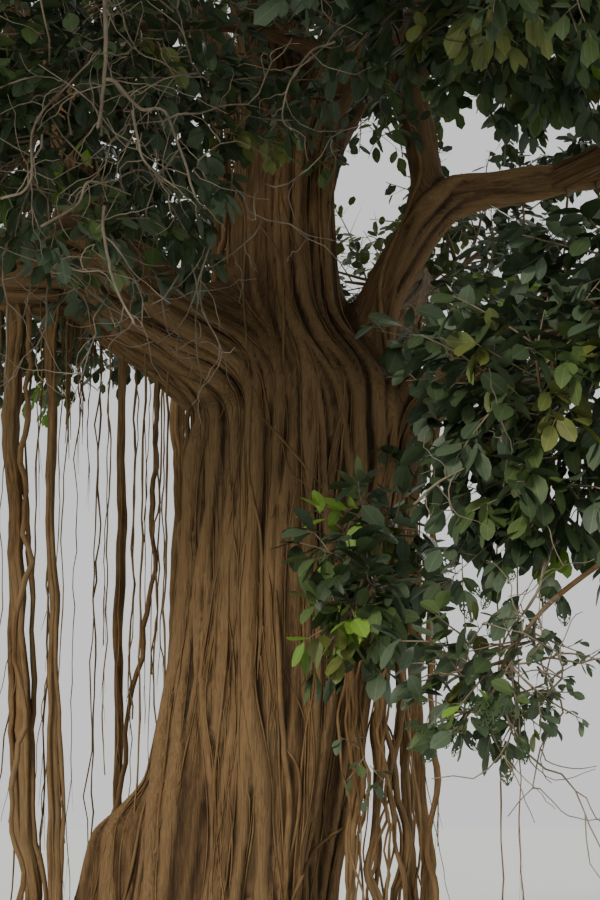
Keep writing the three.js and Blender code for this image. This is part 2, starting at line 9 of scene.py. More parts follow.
import bpy
import numpy as np
from mathutils.bvhtree import BVHTree
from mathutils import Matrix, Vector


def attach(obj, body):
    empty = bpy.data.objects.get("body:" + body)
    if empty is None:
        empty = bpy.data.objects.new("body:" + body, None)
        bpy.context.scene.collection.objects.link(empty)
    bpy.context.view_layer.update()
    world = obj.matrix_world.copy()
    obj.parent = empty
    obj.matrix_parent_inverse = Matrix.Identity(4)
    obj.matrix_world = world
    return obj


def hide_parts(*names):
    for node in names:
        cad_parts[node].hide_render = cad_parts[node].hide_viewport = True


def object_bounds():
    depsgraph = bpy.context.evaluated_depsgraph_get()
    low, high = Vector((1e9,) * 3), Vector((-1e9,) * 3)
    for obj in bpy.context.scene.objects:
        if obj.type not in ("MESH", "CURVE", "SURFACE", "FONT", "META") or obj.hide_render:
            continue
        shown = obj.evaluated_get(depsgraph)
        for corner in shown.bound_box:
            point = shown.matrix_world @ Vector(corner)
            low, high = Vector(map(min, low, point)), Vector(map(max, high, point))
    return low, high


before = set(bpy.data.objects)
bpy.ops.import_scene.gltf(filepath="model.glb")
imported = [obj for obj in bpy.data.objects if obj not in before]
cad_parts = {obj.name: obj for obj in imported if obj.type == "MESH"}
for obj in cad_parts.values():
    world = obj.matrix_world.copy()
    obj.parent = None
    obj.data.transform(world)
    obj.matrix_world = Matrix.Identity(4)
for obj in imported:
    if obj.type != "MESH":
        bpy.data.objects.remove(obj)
cad_low, cad_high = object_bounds()

GOLDEN_ANGLE = math.pi * (3 - math.sqrt(5))
WHOLE_TURN = 2 * math.pi
UP = np.array([0.0, 0.0, 1.0])
TINY = 1e-12
NUDGE = 1e-6  # keeps a cross product with a level or upright way from vanishing

# Random draws: the seed of each, and the ranges of a wave's phase and of a tube's place in the grain

SEEDS = {
    "lumps": 5,
    "strands": 11,
    "roots": 17,
    "thin_roots": 23,
    "curtain": 31,
    "fibres": 41,
    "bare_twigs": 77,
    "drawn_twigs": 83,
    "bough_strands": 300,
    "sprays": 1000,
    "loose_sprays": 2000,
}
PHASES = (0, 6.28)
GRAIN_PLACES = (0, 9)

# Camera and picture

CAMERA_PLACE = (0.62, -12.2, 1.5)
CAMERA_TILT = math.radians(11.35)
CAMERA_LENS = 70
CAMERA_SENSOR = 36
CAMERA_AHEAD = np.array([0, math.cos(CAMERA_TILT), math.sin(CAMERA_TILT)])
CAMERA_ABOVE = np.array([0, -math.sin(CAMERA_TILT), math.cos(CAMERA_TILT)])
CAMERA_RIGHT = np.array([1.0, 0, 0])
CAMERA_SIGHT = 400
PICTURE = (600, 900)

# Trunk: height, middle in x, middle in y, half width, half depth

TRUNK_TOP = 6.7
TRUNK_STATIONS = np.array([
    [0.0, 0.07, 0.0, 0.65, 0.6],
    [0.85, 0.12, 0.0, 0.62, 0.58],
    [1.6, 0.26, 0.0, 0.64, 0.57],
    [2.2, 0.37, 0.0, 0.645, 0.57],
    [2.8, 0.5, 0.01, 0.635, 0.56],
    [3.4, 0.585, 0.02, 0.685, 0.57],
    [3.9, 0.69, 0.03, 0.765, 0.59],
    [4.28, 0.75, 0.04, 0.71, 0.57],
    [4.65, 0.59, 0.04, 0.46, 0.46],
    [5.1, 0.525, 0.04, 0.385, 0.39],
    [5.8, 0.515, 0.04, 0.345, 0.35],
    [TRUNK_TOP, 0.57, 0.05, 0.32, 0.33],
])
TRUNK_CAP = 0.25  # how the trunk's top is rounded
# Ridges all the way up: how many, how proud, how they turn with each metre, and where they start
FLUTES = [(5, 0.05, 0.35, 0.6), (9, 0.035, -0.25, 2.1)]
# Roots that spread the foot: direction, reach at the ground, the height over which it dies away, and width
FOOT_ROOTS = [
    (178, 0.33, 0.42, 24),
    (228, 0.3, 0.5, 17),
    (268, 0.22, 0.42, 15),
    (312, 0.34, 0.52, 18),
    (2, 0.3, 0.38, 16),
    (48, 0.36, 0.56, 19),
    (95, 0.26, 0.46, 16),
    (140, 0.35, 0.54, 18),
]
STUMP = {"heading": 180, "spread": 0.32, "level": 1.25, "top": 1.68, "width": 26}

# Crown

CROWN_X = 0.4
OUTER_RING = (5.15, 6.8, (2.55, 2.55, 1.75))
UPPER_RING = (2.75, 8.55, (2.3, 2.3, 1.65))
RING_WAVE = (0.25, 3, 0.7)


def on_ring(ring, heading):
    radius, height, reach = ring
    wave, count, phase = RING_WAVE
    angle = math.radians(heading)
    middle = (
        CROWN_X + radius * math.cos(angle),
        radius * math.sin(angle),
        height + wave * math.sin(count * angle + phase),
    )
    return middle, reach


TOP_MASS = ((0.5, 0, 9.8), (2.35, 2.35, 1.6))
RIGHT_LOW_MASS = ((2.28, -3.15, 3.7), (1.28, 1.0, 1.2))
RIGHT_HANGING_MASS = ((1.6, -3.48, 2.08), (0.64, 0.52, 0.4))
FRONT_CROSS_MASS = ((-0.7, -2.35, 5.6), (1.35, 1.0, 1.15))
OVERHEAD_MASS = ((2.1, -2.45, 6.45), (1.9, 1.2, 1.0))

# Boughs: name, what it leaves, at which height or share, points passed, radii at both ends, mass, own tip
BOUGHS = [
    ("left_bough", "trunk", 4.33,
     [(-0.26, 0, 4.85), (-0.86, -0.06, 5.24), (-1.56, -0.1, 5.25), (-2.8, -0.12, 5.6)],
     (0.45, 0.13), on_ring(OUTER_RING, 180), None),
    ("left_front_bough", "left_bough", 0.66, [(-2.5, -1.2, 5.9)],
     (0.14, 0.08), on_ring(OUTER_RING, 216), None),
    ("left_back_bough", "left_bough", 0.72, [(-2.8, 1.2, 6.0)],
     (0.14, 0.08), on_ring(OUTER_RING, 144), None),
    ("left_upper_bough", "left_bough", 0.42, [(-1.15, 0.15, 6.5)],
     (0.18, 0.085), on_ring(UPPER_RING, 180), None),
    ("leader_top_bough", "trunk", 6.4, [(0.5, 0.08, 7.5)], (0.21, 0.09), TOP_MASS, None),
    ("leader_back_left_bough", "trunk", 5.95, [(0.18, 0.85, 7.15)],
     (0.17, 0.085), on_ring(UPPER_RING, 120), None),
    ("leader_back_right_bough", "trunk", 5.75, [(1.08, 0.85, 7.0)],
     (0.17, 0.085), on_ring(UPPER_RING, 60), None),
    ("leader_front_left_bough", "trunk", 6.1, [(0.18, -0.8, 7.25)],
     (0.17, 0.085), on_ring(UPPER_RING, 240), None),
    ("leader_front_right_bough", "trunk", 5.85, [(1.05, -0.75, 7.15)],
     (0.17, 0.085), on_ring(UPPER_RING, 300), None),
    ("front_left_bough", "leader_front_left_bough", 0.62, [(-0.5, -2.7, 7.4)],
     (0.095, 0.065), on_ring(OUTER_RING, 252), None),
    ("front_right_bough", "leader_front_right_bough", 0.62, [(1.65, -2.7, 7.5)],
     (0.095, 0.065), on_ring(OUTER_RING, 288), None),
    ("right_bough", "trunk", 4.15,
     [(1.11, -0.04, 4.48), (1.18, -0.04, 5.0), (1.37, -0.03, 5.41), (1.545, 0, 5.76), (1.5, 0, 6.3),
      (1.39, 0.05, 6.95), (1.75, 0.06, 7.55)],
     (0.165, 0.08), on_ring(UPPER_RING, 0), None),
    ("right_outer_bough", "right_bough", 0.5, [(1.9, 0, 5.88), (3.0, 0.06, 6.08)],
     (0.112, 0.075), on_ring(OUTER_RING, 0), None),
    ("right_front_bough", "right_outer_bough", 0.52, [(3.5, -0.9, 6.25)],
     (0.08, 0.06), on_ring(OUTER_RING, 324), None),
    ("right_back_bough", "right_outer_bough", 0.62, [(3.7, 0.9, 6.3)],
     (0.08, 0.06), on_ring(OUTER_RING, 36), None),
    ("back_left_bough", "trunk", 4.2, [(0.2, 0.95, 4.9), (-0.5, 2.4, 5.75)],
     (0.24, 0.095), on_ring(OUTER_RING, 108), None),
    ("back_right_bough", "trunk", 4.35, [(1.2, 0.95, 5.0), (1.6, 2.4, 5.85)],
     (0.24, 0.095), on_ring(OUTER_RING, 72), None),
    ("right_low_bough", "trunk", 4.08, [(1.45, -0.25, 4.27), (2.15, -0.9, 4.6), (2.68, -1.75, 4.8)],
     (0.21, 0.06), RIGHT_LOW_MASS, (2.72, -2.45, 4.7)),
    ("right_hanging_bough", "right_low_bough", 0.78, [(3.05, -2.45, 4.35), (2.95, -3.25, 3.35)],
     (0.042, 0.015), RIGHT_HANGING_MASS, (1.9, -3.55, 2.5)),
    ("front_cross_bough", "trunk", 6.15, [(1.0, -0.8, 6.4), (0.38, -1.4, 6.48)],
     (0.062, 0.036), FRONT_CROSS_MASS, (-0.25, -1.75, 6.38)),
    ("overhead_right_bough", "right_bough", 0.7, [(1.95, -0.9, 6.95)],
     (0.066, 0.042), OVERHEAD_MASS, (2.35, -1.9, 6.85)),
]
TIP_SHARE = 0.5
LIMB_TAPER = 0.8
LIMB_PLACES = 25
SPRIG_ROOT = (0.95, -0.3, 3.65)
SPRIG_TIP = (0.96, -1.0, 3.35)
SPRIG_THICK = 0.022
SPRIG_MASS = ((1.04, -1.37, 2.86), (0.6, 0.45, 0.76))

# Aerial roots: name, the bough it hangs from, at which share, foot, radii at both ends, sway in x and y

HANGING_ROOTS = [
    ("left_prop_root_outer", "left_bough", 0.58, (-1.1, -0.15, 0), (0.074, 0.066), (-0.04, 0.04)),
    ("left_prop_root_inner", "left_bough", 0.5, (-0.93, -0.28, 0), (0.046, 0.044), (-0.02, -0.06)),
    ("left_hanging_root", "left_bough", 0.54, (-1.18, -0.48, 0), (0.022, 0.018), (-0.03, -0.08)),
    ("left_back_prop_root", "left_bough", 0.33, (-0.7, 0.78, 0), (0.034, 0.036), (-0.02, 0.15)),
    ("left_near_root", "left_bough", 0.24, (-0.9, 0.56, 0), (0.02, 0.018), (0.12, 0.06)),
    ("left_joining_root", "left_bough", 0.17, (-0.15, -0.15, 1.7), (0.02, 0.024), (-0.07, -0.04)),
    ("left_far_prop_root", "left_bough", 0.86, (-3.3, 0.1, 0), (0.062, 0.07), (0.08, 0.07)),
    ("right_hanging_root", "right_low_bough", 0.3, (1.5, -0.42, 0), (0.024, 0.02), (-0.05, -0.04)),
    ("right_far_prop_root", "right_outer_bough", 0.8, (4.05, 0.25, 0), (0.046, 0.056), (-0.09, 0.04)),
    ("back_left_prop_root", "back_left_bough", 0.62, (-0.7, 2.7, 0), (0.052, 0.06), (0.09, 0.08)),
    ("back_right_prop_root", "back_right_bough", 0.66, (1.75, 2.95, 0), (0.052, 0.06), (-0.07, 0.09)),
]
CURTAIN = {
    "name": "right_curtain_root",
    "count": 5,
    "top": 4.0,
    "top_headings": (-44, 16),
    "top_reach": 0.56,
    "foot_headings": (-32, 7),
    "foot_reach": (1.05, 1.36),
    "thick": 0.031,
    "thicker": 0.008,
    "sway": 0.06,
}
ROOT_SHARES = np.array([0, 0.18, 0.4, 0.65, 0.85, 1])
ROOT_FLARE = (0.6, 12)
ROOT_BOW = (0.35, 9, 1000)
ROOT_PLACES = 60

# Growth rule of a mass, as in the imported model

BRANCHES = 5
TOP_BRANCHES = 6
BRANCH_STEPS = 3
TARGET_SHARE = 0.5
SIDE_BLADES = 3
BLADE_SHARE = 0.56
BLADE_WIDTH = 0.64
BELLY_SHARE = 0.5
STEM_BOW, STEM_BEYOND = 0.5, 0.35
BRANCH_LEAVES, BRANCH_ENDS = (0.6, 0.37), (0.3, 0.97)
BRANCH_BOW = 0.15
BLADE_WAYS = (0.8, 0.45, 0.35)  # across, along and outward
BLADE_TILTS = (0.6, 2.4)
SIDE_SPAN, SIDE_LENGTHS, TIP_LENGTHS = (0.4, 0.92), (0.75, 1), (0.8, 1)
LIMB_CLEARANCE = 0.05
SPACE_MARGIN = 0.015
FIRST_SEED = 101
SEED_STEP = 37
DRAW_FACTOR, DRAW_RANGE = 16807, 2147483647

# Rooms: where the crown may grow, how far off a limb counts, the gap where none does, and limbs' tests

ROOM_LOW = np.array(cad_low) - 0.05
ROOM_HIGH = np.array(cad_high) + 0.05
NEAR_LIMB = 0.3
FAR = 1.0
TRUNK_TEST_PLACES = 24
TRUNK_TEST_WIDTH = 1.1
ROOT_TEST_PLACES = 17

# Meshes

MOST_TRIANGLES = 190000
GRAIN_STRETCH = 6.0
WIDE_END = 0.4
POINTED_END = 1.5
SPIKE_CORNERS = (0.5, 2.6, 4.7)
SPIKE_FACES = np.array([[1, 0, 3], [2, 1, 3], [0, 2, 3], [0, 1, 2]])

# The skin of trunk and boughs: one surface, found on a grid of blocks of voxels

VOXEL = 0.022
BLOCK = 8
SKIN_LOW = np.array([-2.7, -1.3, 0.0])
SKIN_HIGH = np.array([3.1, 1.3, 7.8])
SKIN_EDGE = 0.05
GRID_MARGIN = 0.2
GRID_LOW = np.array([SKIN_LOW[0] - GRID_MARGIN, SKIN_LOW[1] - GRID_MARGIN, -VOXEL / 2])
GRID_HIGH = SKIN_HIGH + 0.3
BLOCK_REACH = (0.87, 0.14)  # half a block's diagonal as a share of its side, and the depth of the relief
FOOT_REACH = (1.3, 0.5)  # how much farther the field is off near the ground, and the height of that
BLOCKS_AT_ONCE = 200
GROUND_SNAP = 0.35 * VOXEL
SKIN_BOUGH = 0.1  # boughs at least this thick join the skin, the rest are tubes
SKIN_PLACES = 61
SKIN_REACH = 0.5
BOUGH_BLEND = (0.1, 0.4)  # how widely a bough runs into the trunk, with its growth by the bough's radius
LUMPS = {"count": 10, "ways": (1, 1, 0.22), "waves": (7, 22), "sizes": (0.003, 0.007)}
NORMAL_STEP = 0.012
WAY_FADE = 0.08
BOUGH_PULL = 1.4
GRAIN_FADE = 0.025
GRAIN_SHIFT = 3
LEAST_WEIGHT = 1e-9
PROUD_DEPTH, HOLLOW_DEPTH = 0.03, 0.09 * VOXEL  # where the bark's looks count as fully proud or hollow, hollow places taking the darkest painted shade

# Lines that climb the skin: the pace and the size of their three waves

CLIMB_PACE = (0.35, 1.6)
CLIMB_PACES = (1, 2.1, 4.3)
CLIMB_SIZE = (0.5, 1.0)
CLIMB_SIZES = (1, 0.7, 0.4)
CLIMB_SNAP = 0.05

# Strands half sunk in the skin, on the trunk and on each bough

STRANDS = 180
STRAND_SCATTER = 0.35
STRANDS_FROM_FOOT = 0.5
STRAND_FOOT = 0.03
NEAR_GROUND = 0.1
STRAND_LEVELS = (0.4, 4.0)
STRAND_RADII = (0.018, 0.026, 0.04, 0.062)
STRAND_SHARES = (0.3, 0.3, 0.25, 0.15)
STRAND_SUNK = (-0.5, 0.4)
STRAND_STEP = 0.07
STRAND_STEPS = (45, 118)
STRAND_WANDER = 0.13
STRAND_BLEND = 0.022
STRAND_LEAST, STRAND_TOP, STRAND_BOTTOM = 0.15, 9, 6  # least share at an end, and steps to full size
STRAND_SWELL = (0.18, 0.37)
STRAND_OWN_PHASE = 900
SHORTEST_CLIMB = 8
BOUGH_STRANDS = 7
BOUGH_STRAND_SHARES = (0.5, 0.35, 0.15)
BOUGH_STRAND_STARTS = (0.15, 0.45)
BOUGH_STRAND_TWIST = 1.2
BOUGH_STRAND_WAVE = (0.3, 7)
BOUGH_STRAND_RADII = (0.16, 0.34)
BOUGH_STRAND_SWELL = (0.2, 9)

# Boughs beyond the skin: their steps, how they swell, and which of them bear strands

OUTER_STEP = 0.07
OUTER_OVERLAP = 0.1
OUTER_SWELLS = ((5.3, 1, 0.05), (13.1, 2, 0.035))
THICK_BOUGH = 0.1
STRANDED_BOUGH = 0.07

# Bundles of an aerial root: least radius and how many roots wind round the main one, and the main one's share

WINDING_ROOTS = ((0.04, 5), (0.025, 2), (0, 0))
CORE_SHARES = (0.95, 0.74)
ROOT_SWAYS = {"curtain": 0.028, "thin": 0.04, "thick": 0.25}
CALM_ROOTS = (CURTAIN["name"], "right_hanging_root")
THIN_ROOT = 0.03
THIN_ROOT_WAVES = (0.9, 0.42, 0.2)
FRAYED_ROOTS = 9
FRAYED_RADII = (0.003, 0.007)
FRAYED_DROPS = (0.6, 1.7)
FRAYED_FROM, FRAYED_OUT = (0.45, 0.8), 1.6  # share down the root, and times the root's radius
FRAYED_SWAY, FRAYED_WAVES = 0.02, (0.5, 0.26)
ROOT_WAVES = (1.3, 0.6, 0.28)
WAVE_PACES, SWELL_PACES = (0.8, 1.3), (0.8, 1.6)
MAIN_SWELLS = ((0.1, 37), (0.06, 91))
WINDING_TWIST = 5
WINDING_AWAY = (0.34, 0.35)  # how far a winding root swings in and out, and how far off it may lie
WINDING_RADII = (0.36, 0.64)
WINDING_SWELL = (0.15, 60)
AT_GROUND = 0.01
ROOTLETS, FEWER_ROOTLETS, ROOTLET_SCATTER = 5, 3, 0.3
ROOTLET_REACHES, ROOTLET_TAPER = (3, 5.5), (0.5, 0.14)  # times the root's radius

# The bough, the shares between which they hang, how many, how long, and how thick
THIN_ROOTS = [
    ("left_upper_bough", (0.05, 0.85), 30, (0.5, 1.7), (0.005, 0.02)),
    ("leader_front_left_bough", (0.35, 0.9), 8, (0.5, 2.0), (0.004, 0.011)),
    ("leader_back_left_bough", (0.16, 0.7), 34, (1.4, 2.9), (0.008, 0.034)),
    ("left_bough", (0.16, 0.72), 22, (3.2, 6.0), (0.004, 0.011)),
    ("left_bough", (0.2, 0.9), 12, (0.9, 3.0), (0.004, 0.011)),
    ("right_low_bough", (0.16, 0.5), 7, (1.0, 4.4), (0.004, 0.011)),
    ("right_bough", (0.12, 0.3), 4, (0.8, 2.4), (0.004, 0.011)),
    ("right_outer_bough", (0.35, 0.95), 7, (0.8, 3.2), (0.004, 0.011)),
    ("back_left_bough", (0.3, 0.9), 9, (1.2, 5.5), (0.004, 0.011)),
    ("back_right_bough", (0.3, 0.9), 9, (1.2, 5.5), (0.004, 0.011)),
    ("left_front_bough", (0.2, 0.9), 5, (0.8, 2.4), (0.004, 0.011)),
    ("left_back_bough", (0.2, 0.9), 5, (0.8, 3.2), (0.004, 0.011)),
]
THIN_ROOT_SIDE, THIN_ROOT_UNDER = 0.75, 0.6  # times the bough's radius
THIN_ROOT_LEAN = 0.06
THIN_ROOT_SWAYS = (0.006, 0.02)
THIN_ROOT_SWELL = (0.15, 50)
FRAYED_ABOVE = 0.05  # a thin root that ends lower than this runs into the ground
HAIRS, HAIR_DROPS, HAIR_SPREAD, HAIR_LOWEST = 4, (0.12, 0.4), 0.02, 0.02
HAIR_SWAY, HAIR_WAVES, HAIR_THICK = 0.006, (0.2, 0.1), 0.4
CURTAIN_STRANDS = 16
CURTAIN_STRAND_RADII = (0.007, 0.011, 0.016, 0.022)
CURTAIN_STRAND_SHARES = (0.25, 0.3, 0.25, 0.2)
CURTAIN_STRAND_HEADINGS = ((-62, 24), (-42, 14))
CURTAIN_STRAND_TOPS = (3.0, 4.1)
CURTAIN_STRAND_TOP_REACH = 0.6
CURTAIN_STRAND_FOOT_REACHES = (0.95, 1.42)
CURTAIN_STRAND_SWAYS = (0.02, 0.04)
CURTAIN_STRAND_WAVES = (1.5, 0.8, 0.4)

# Thin roots on the bark: how many wander how much, where they start, how long they are and how thick

FIBRES = 220
FIBRE_WANDERS = ((0.16, FIBRES * 11 // 12), (0.5, FIBRES // 12))
FIBRES_FROM_FOOT = 0.35
FIBRE_FOOT = 0.04
FIBRE_LEVELS = (0.3, 5.2)
FIBRE_STEP = 0.08
FIBRE_LIFT, DRAWN_ROOT_LIFT = 0.45, 0.5  # times the root's radius
FIBRE_MOST_STEPS = 95
FIBRE_STEPS = (14, 62)
FIBRE_RADII = (0.005, 0.008, 0.012, 0.018)
FIBRE_SHARES = (0.4, 0.35, 0.17, 0.08)

# Roots that cross the bark's front: radius, and the places in the picture that they pass
DRAWN_ROOTS = [
    (0.021, [(277, 590), (279, 700), (283, 748), (289, 800), (286, 850), (284, 905)]),
    (0.011, [(283, 745), (297, 768), (299, 805), (292, 845), (285, 870)]),
    (0.011, [(252, 385), (249, 470), (261, 540), (262, 615), (257, 680)]),
    (0.009, [(257, 412), (289, 447), (327, 494)]),
    (0.007, [(279, 430), (291, 472), (309, 486)]),
    (0.01, [(229, 560), (226, 660), (214, 790), (212, 905)]),
    (0.013, [(345, 826), (330, 836), (314, 850), (302, 875), (290, 905)]),
    (0.009, [(227, 181), (244, 208), (246, 241), (244, 300), (250, 380)]),
    (0.009, [(249, 210), (273, 243), (281, 262), (284, 311), (283, 380)]),
    (0.007, [(288, 230), (304, 262), (315, 299)]),
    (0.007, [(212, 245), (232, 275), (252, 310), (275, 335)]),
]

# Sprays of a mass

SECOND_BRANCHES = 3
# How many smaller sprays each branch bears, more in the masses that hang towards the camera
MORE_SPRAYS = 11
MANY_SPRAYS = {
    "front_cross_foliage": 22,
    "right_low_foliage": 30,
    "overhead_right_foliage": 27,
    "back_left_foliage": 16,
    "leader_back_left_foliage": 16,
    "left_upper_foliage": 16,
    "right_hanging_foliage": 6,
    "trunk_sprig": 9,
}
OFFERED = 2.2  # times the sprays that a branch bears
MORE_SPAN, MORE_LENGTHS, MORE_TURN = (0.22, 0.98), (0.5, 0.85), 1.2
SECOND_SPAN, SECOND_SCATTER, SECOND_BOW = (0.35, 0.8), 0.95, 0.2
SECOND_REACHES = {True: (0.5, 0.78), False: (0.5, 0.68)}  # in the near masses, and in the rest
SPRAY_MIDDLE = 0.55
SPRAY_SEED_STEP = 7
STEM_SPRAYS = 5
NEAR_MASSES = ("front_cross_foliage", "right_low_foliage", "overhead_right_foliage", "right_hanging_foliage",
               "trunk_sprig")
# Gaps of the crown, as middle, half width and half height in the picture, and the share that stays
SKY_GAPS = [
    ((374, 178), (34, 52), 0.1),
    ((362, 260), (32, 48), 0.8),
    ((467, 140), (24, 46), 0.15),
    ((130, 430), (75, 120), 0.35),
]

# Wood of a mass: thickness at both ends as shares of its bough's, what is added to it, and its sides

STEM_WOOD = ((0.96, 0.3), 0, 8)
BRANCH_WOOD = ((0.4, 0.12), 0.004, 6)
FINE_WOOD = ((0.2, 0.08), 0.003, 5)

# Twigs of a spray

SPRAY_PLACES = 5
SPRAY_BEND = 0.03
SPRAY_DROOP = 0.07
SIDE_TWIG_SPAN = (0.1, 0.86)
SIDE_TWIG_LENGTHS = (0.75, 1.15)
SIDE_TWIG_SCATTER = (0.38, 0.12)
SIDE_TWIG_DROOP = (0, 0.35)
SIDE_TWIG_STEP = 0.12
SIDE_TWIG_ANGLE = math.radians(50)
SIDE_TWIG_THICK = 0.0038
LOOSE_TWIG_THICK = 0.004
MAIN_TWIG_THICK = (0.0045, 0.006)  # at no length, and its growth with each metre
MAIN_TWIG_TAPER = np.array([1, 0.85, 0.7, 0.55, 0.35])

# Leafy twigs that grow straight on a bough: how many, between which shares of it
LIMB_SPRAYS = [
    ("front_cross_bough", 16, (0.1, 0.95)),
    ("leader_front_left_bough", 12, (0.1, 0.7)),
    ("leader_front_right_bough", 12, (0.1, 0.7)),
    ("left_upper_bough", 18, (0.12, 0.9)),
    ("left_bough", 16, (0.22, 0.6)),
    ("right_bough", 6, (0.6, 0.95)),
    ("right_low_bough", 12, (0.12, 0.6)),
    ("back_right_bough", 14, (0.16, 0.6)),
]
LIMB_SPRAY_LENGTHS = (0.35, 0.62)
LIMB_SPRAY_LEAF = 0.9  # times the usual length of leaf
SPRAY_TILT = (0.3, 0.2, 1)
# Sprays of their own, as root, way, length and length of leaf: small ones on the curtain of roots, ones
# that hang before the left bough, and ones that hang from the low bough, the last of them eaten
LOOSE_SPRAYS = [
    ((1.03, -0.98, 1.78), (-0.5, -0.5, -0.6), 0.22, 0.085),
    ((1.06, -0.98, 1.72), (0.5, -0.5, -0.5), 0.2, 0.085),
    ((1.04, -0.98, 1.7), (0.1, -0.4, -0.9), 0.2, 0.085),
    ((1.0, -0.98, 1.82), (-0.6, -0.4, 0.4), 0.18, 0.085),
    ((-0.55, -1.5, 5.35), (0.5, -0.4, -0.75), 0.55, 0.15),
    ((-0.8, -1.5, 5.3), (0.1, -0.3, -0.9), 0.6, 0.16),
    ((-0.2, -1.4, 5.5), (0.55, -0.3, -0.7), 0.5, 0.15),
    ((-1.15, -1.5, 5.2), (-0.2, -0.3, -0.9), 0.5, 0.15),
    ((-0.1, -1.4, 5.2), (0.3, -0.4, -0.8), 0.5, 0.16),
    ((-0.4, -1.6, 5.05), (0.2, -0.2, -0.9), 0.5, 0.15),
    ((1.6, -0.8, 4.45), (-0.5, -0.5, 0.75), 0.5, 0.14),
    ((1.62, -0.75, 4.45), (-0.1, -0.5, 0.8), 0.6, 0.14),
    ((1.8, -0.9, 4.5), (-0.3, -0.5, 0.85), 0.6, 0.14),
    ((1.85, -3.35, 3.2), (-1, -0.15, -0.35), 0.6, 0.15),
    ((1.75, -3.25, 3.35), (-0.7, -0.2, -0.75), 0.6, 0.15),
    ((1.65, -3.3, 3.05), (-0.5, -0.2, -0.7), 0.5, 0.15),
    ((1.7, -3.3, 3.4), (-0.8, -0.3, -0.4), 0.55, 0.15),
    ((1.75, -3.3, 3.6), (-0.9, -0.2, 0.1), 0.6, 0.15),
    ((1.6, -2.9, 3.9), (-0.8, -0.2, 0.2), 0.6, 0.16),
    ((1.8, -3.35, 2.95), (-0.8, -0.1, -0.6), 0.6, 0.16),
    ((1.95, -3.4, 2.85), (-0.5, -0.1, -0.8), 0.5, 0.16),
    ((1.75, -3.4, 2.95), (-0.3, -0.1, -0.9), 0.45, 0.16),
]
EATEN_LOOSE = 3
EATEN_SHARE = 0.45
EATEN_KIND = "deep"

# Leaves

LEAF_STEP = 0.042
LEAF_LENGTH = 0.158
LEAF_SIZES = (0.7, 1.18)
LEAF_SPREADS = (0.6, 1.2)
LEAF_DROOPS = (0.05, 0.8)
LEAF_TILT = 0.35
LEAF_MIDDLE = 0.55
LOOSE_LEAF_SIZES = (0.7, 1.2)
LARGE_LEAVED = {"trunk_sprig": 1.2, "right_hanging_foliage": 0.85, "right_low_foliage": 1.1}
LEAF_CLEARANCE = 0.02
LOWEST_LEAF = 0.2
KINDS = ["deep", "blue", "mid", "olive", "bright"]
KIND_SHARES = [0.4, 0.22, 0.2, 0.12, 0.06]
NEAR_SHARES = [0.42, 0.33, 0.18, 0.06, 0.01]
LOOSE_SHARES = [0.45, 0.37, 0.18, 0, 0]
# The sprig's sprays to the left of this place are young and bright
YOUNG_LEFT_OF = 0.98
YOUNG_SHARES = [0.15, 0.15, 0.2, 0.15, 0.35]
# Along the leaf, half width, both as shares of its length, for leaves near the camera and for the rest
NEAR_OUTLINE = np.array([[0.13, 0.13], [0.36, 0.265], [0.64, 0.275], [0.88, 0.16]])
FAR_OUTLINE = np.array([[0.28, 0.24], [0.74, 0.25]])
LEAF_FOLDS = (0.05, 0.35)
LEAF_FOLD_SIDES = (1, 1, 1, -0.5)
LEAF_CURLS = (0.0, 0.2)
LEAF_WIDTHS = (0.85, 1.12)
EATEN_ROWS, EATEN_COLUMNS = 18, 12
EATEN_FACES = 0.7
EATEN_FROM = (0.4, 0.7)
EATEN_TURN = 1.6  # how much an eaten leaf's face turns towards -Y
LOW_SPRAY_OUTER = (1.5, 0.4)  # where the low spray's outer part begins in x, and over what width
LOW_SPRAY_SIZES, LOW_SPRAY_EATEN = (1.05, 0.5), 0.6

# Bare twigs: a place to start, how far its starts are scattered, how many, and the way they mostly take
BARE_TWIGS = [
    ((-0.5, -1.8, 5.0), (0.9, 0.3, 0.35), 22, (0.35, -0.3, -0.9)),
    ((-0.9, -2.6, 5.8), (1.1, 0.6, 0.8), 30, (-0.6, -0.5, 0.3)),
    ((-0.7, -2.6, 5.2), (1.0, 0.5, 0.4), 16, (-0.3, -0.6, -0.5)),
    ((-1.7, -1.4, 6.6), (0.8, 0.6, 0.6), 10, (-0.6, -0.4, 0.6)),
    ((0.4, -2.2, 6.3), (0.7, 0.4, 0.3), 7, (0.3, -0.5, -0.4)),
    ((2.3, -3.2, 3.9), (0.8, 0.4, 0.6), 7, (0.2, -0.5, -0.6)),
    ((1.9, -3.6, 2.1), (0.3, 0.3, 0.2), 5, (0.6, -0.3, -0.5)),
]
# Bare boughlets in front of the crown: how deep, radius, and the places in the picture that they pass
DRAWN_TWIGS = [
    (9.4, 0.014, [(103, -30), (107, 40), (104, 90), (97, 125)]),
    (9.3, 0.011, [(107, 80), (118, 92), (140, 108), (166, 117), (186, 165), (194, 192)]),
    (9.2, 0.008, [(133, 112), (138, 140), (146, 163), (175, 189)]),
    (9.2, 0.009, [(104, 205), (106, 245), (117, 290), (135, 325)]),
    (9.5, 0.008, [(0, 198), (30, 188), (36, 130), (60, 84), (100, 50)]),
    (9.3, 0.008, [(40, 225), (76, 206), (90, 183), (128, 186)]),
    (9.9, 0.007, [(335, 44), (311, 55), (296, 71), (287, 90), (283, 113), (291, 129)]),
    (8.6, 0.009, [(500, 420), (508, 452), (504, 485)]),
    (8.7, 0.008, [(415, 500), (440, 482), (462, 470)]),
    (8.7, 0.007, [(560, 540), (546, 558), (535, 597), (512, 628), (500, 655)]),
]
TWIG_STEPS = 9
TWIG_BEND = 0.3
TWIG_THICK, FORK_THICK = 0.0065, 0.004
TWIG_LENGTHS = (0.6, 1.3)
TWIG_SCATTER = 0.45
FORK_PLACES, FORKS = (2, 3, 4, 5, 6, 7), 3
FORK_LENGTHS = (0.3, 0.55)
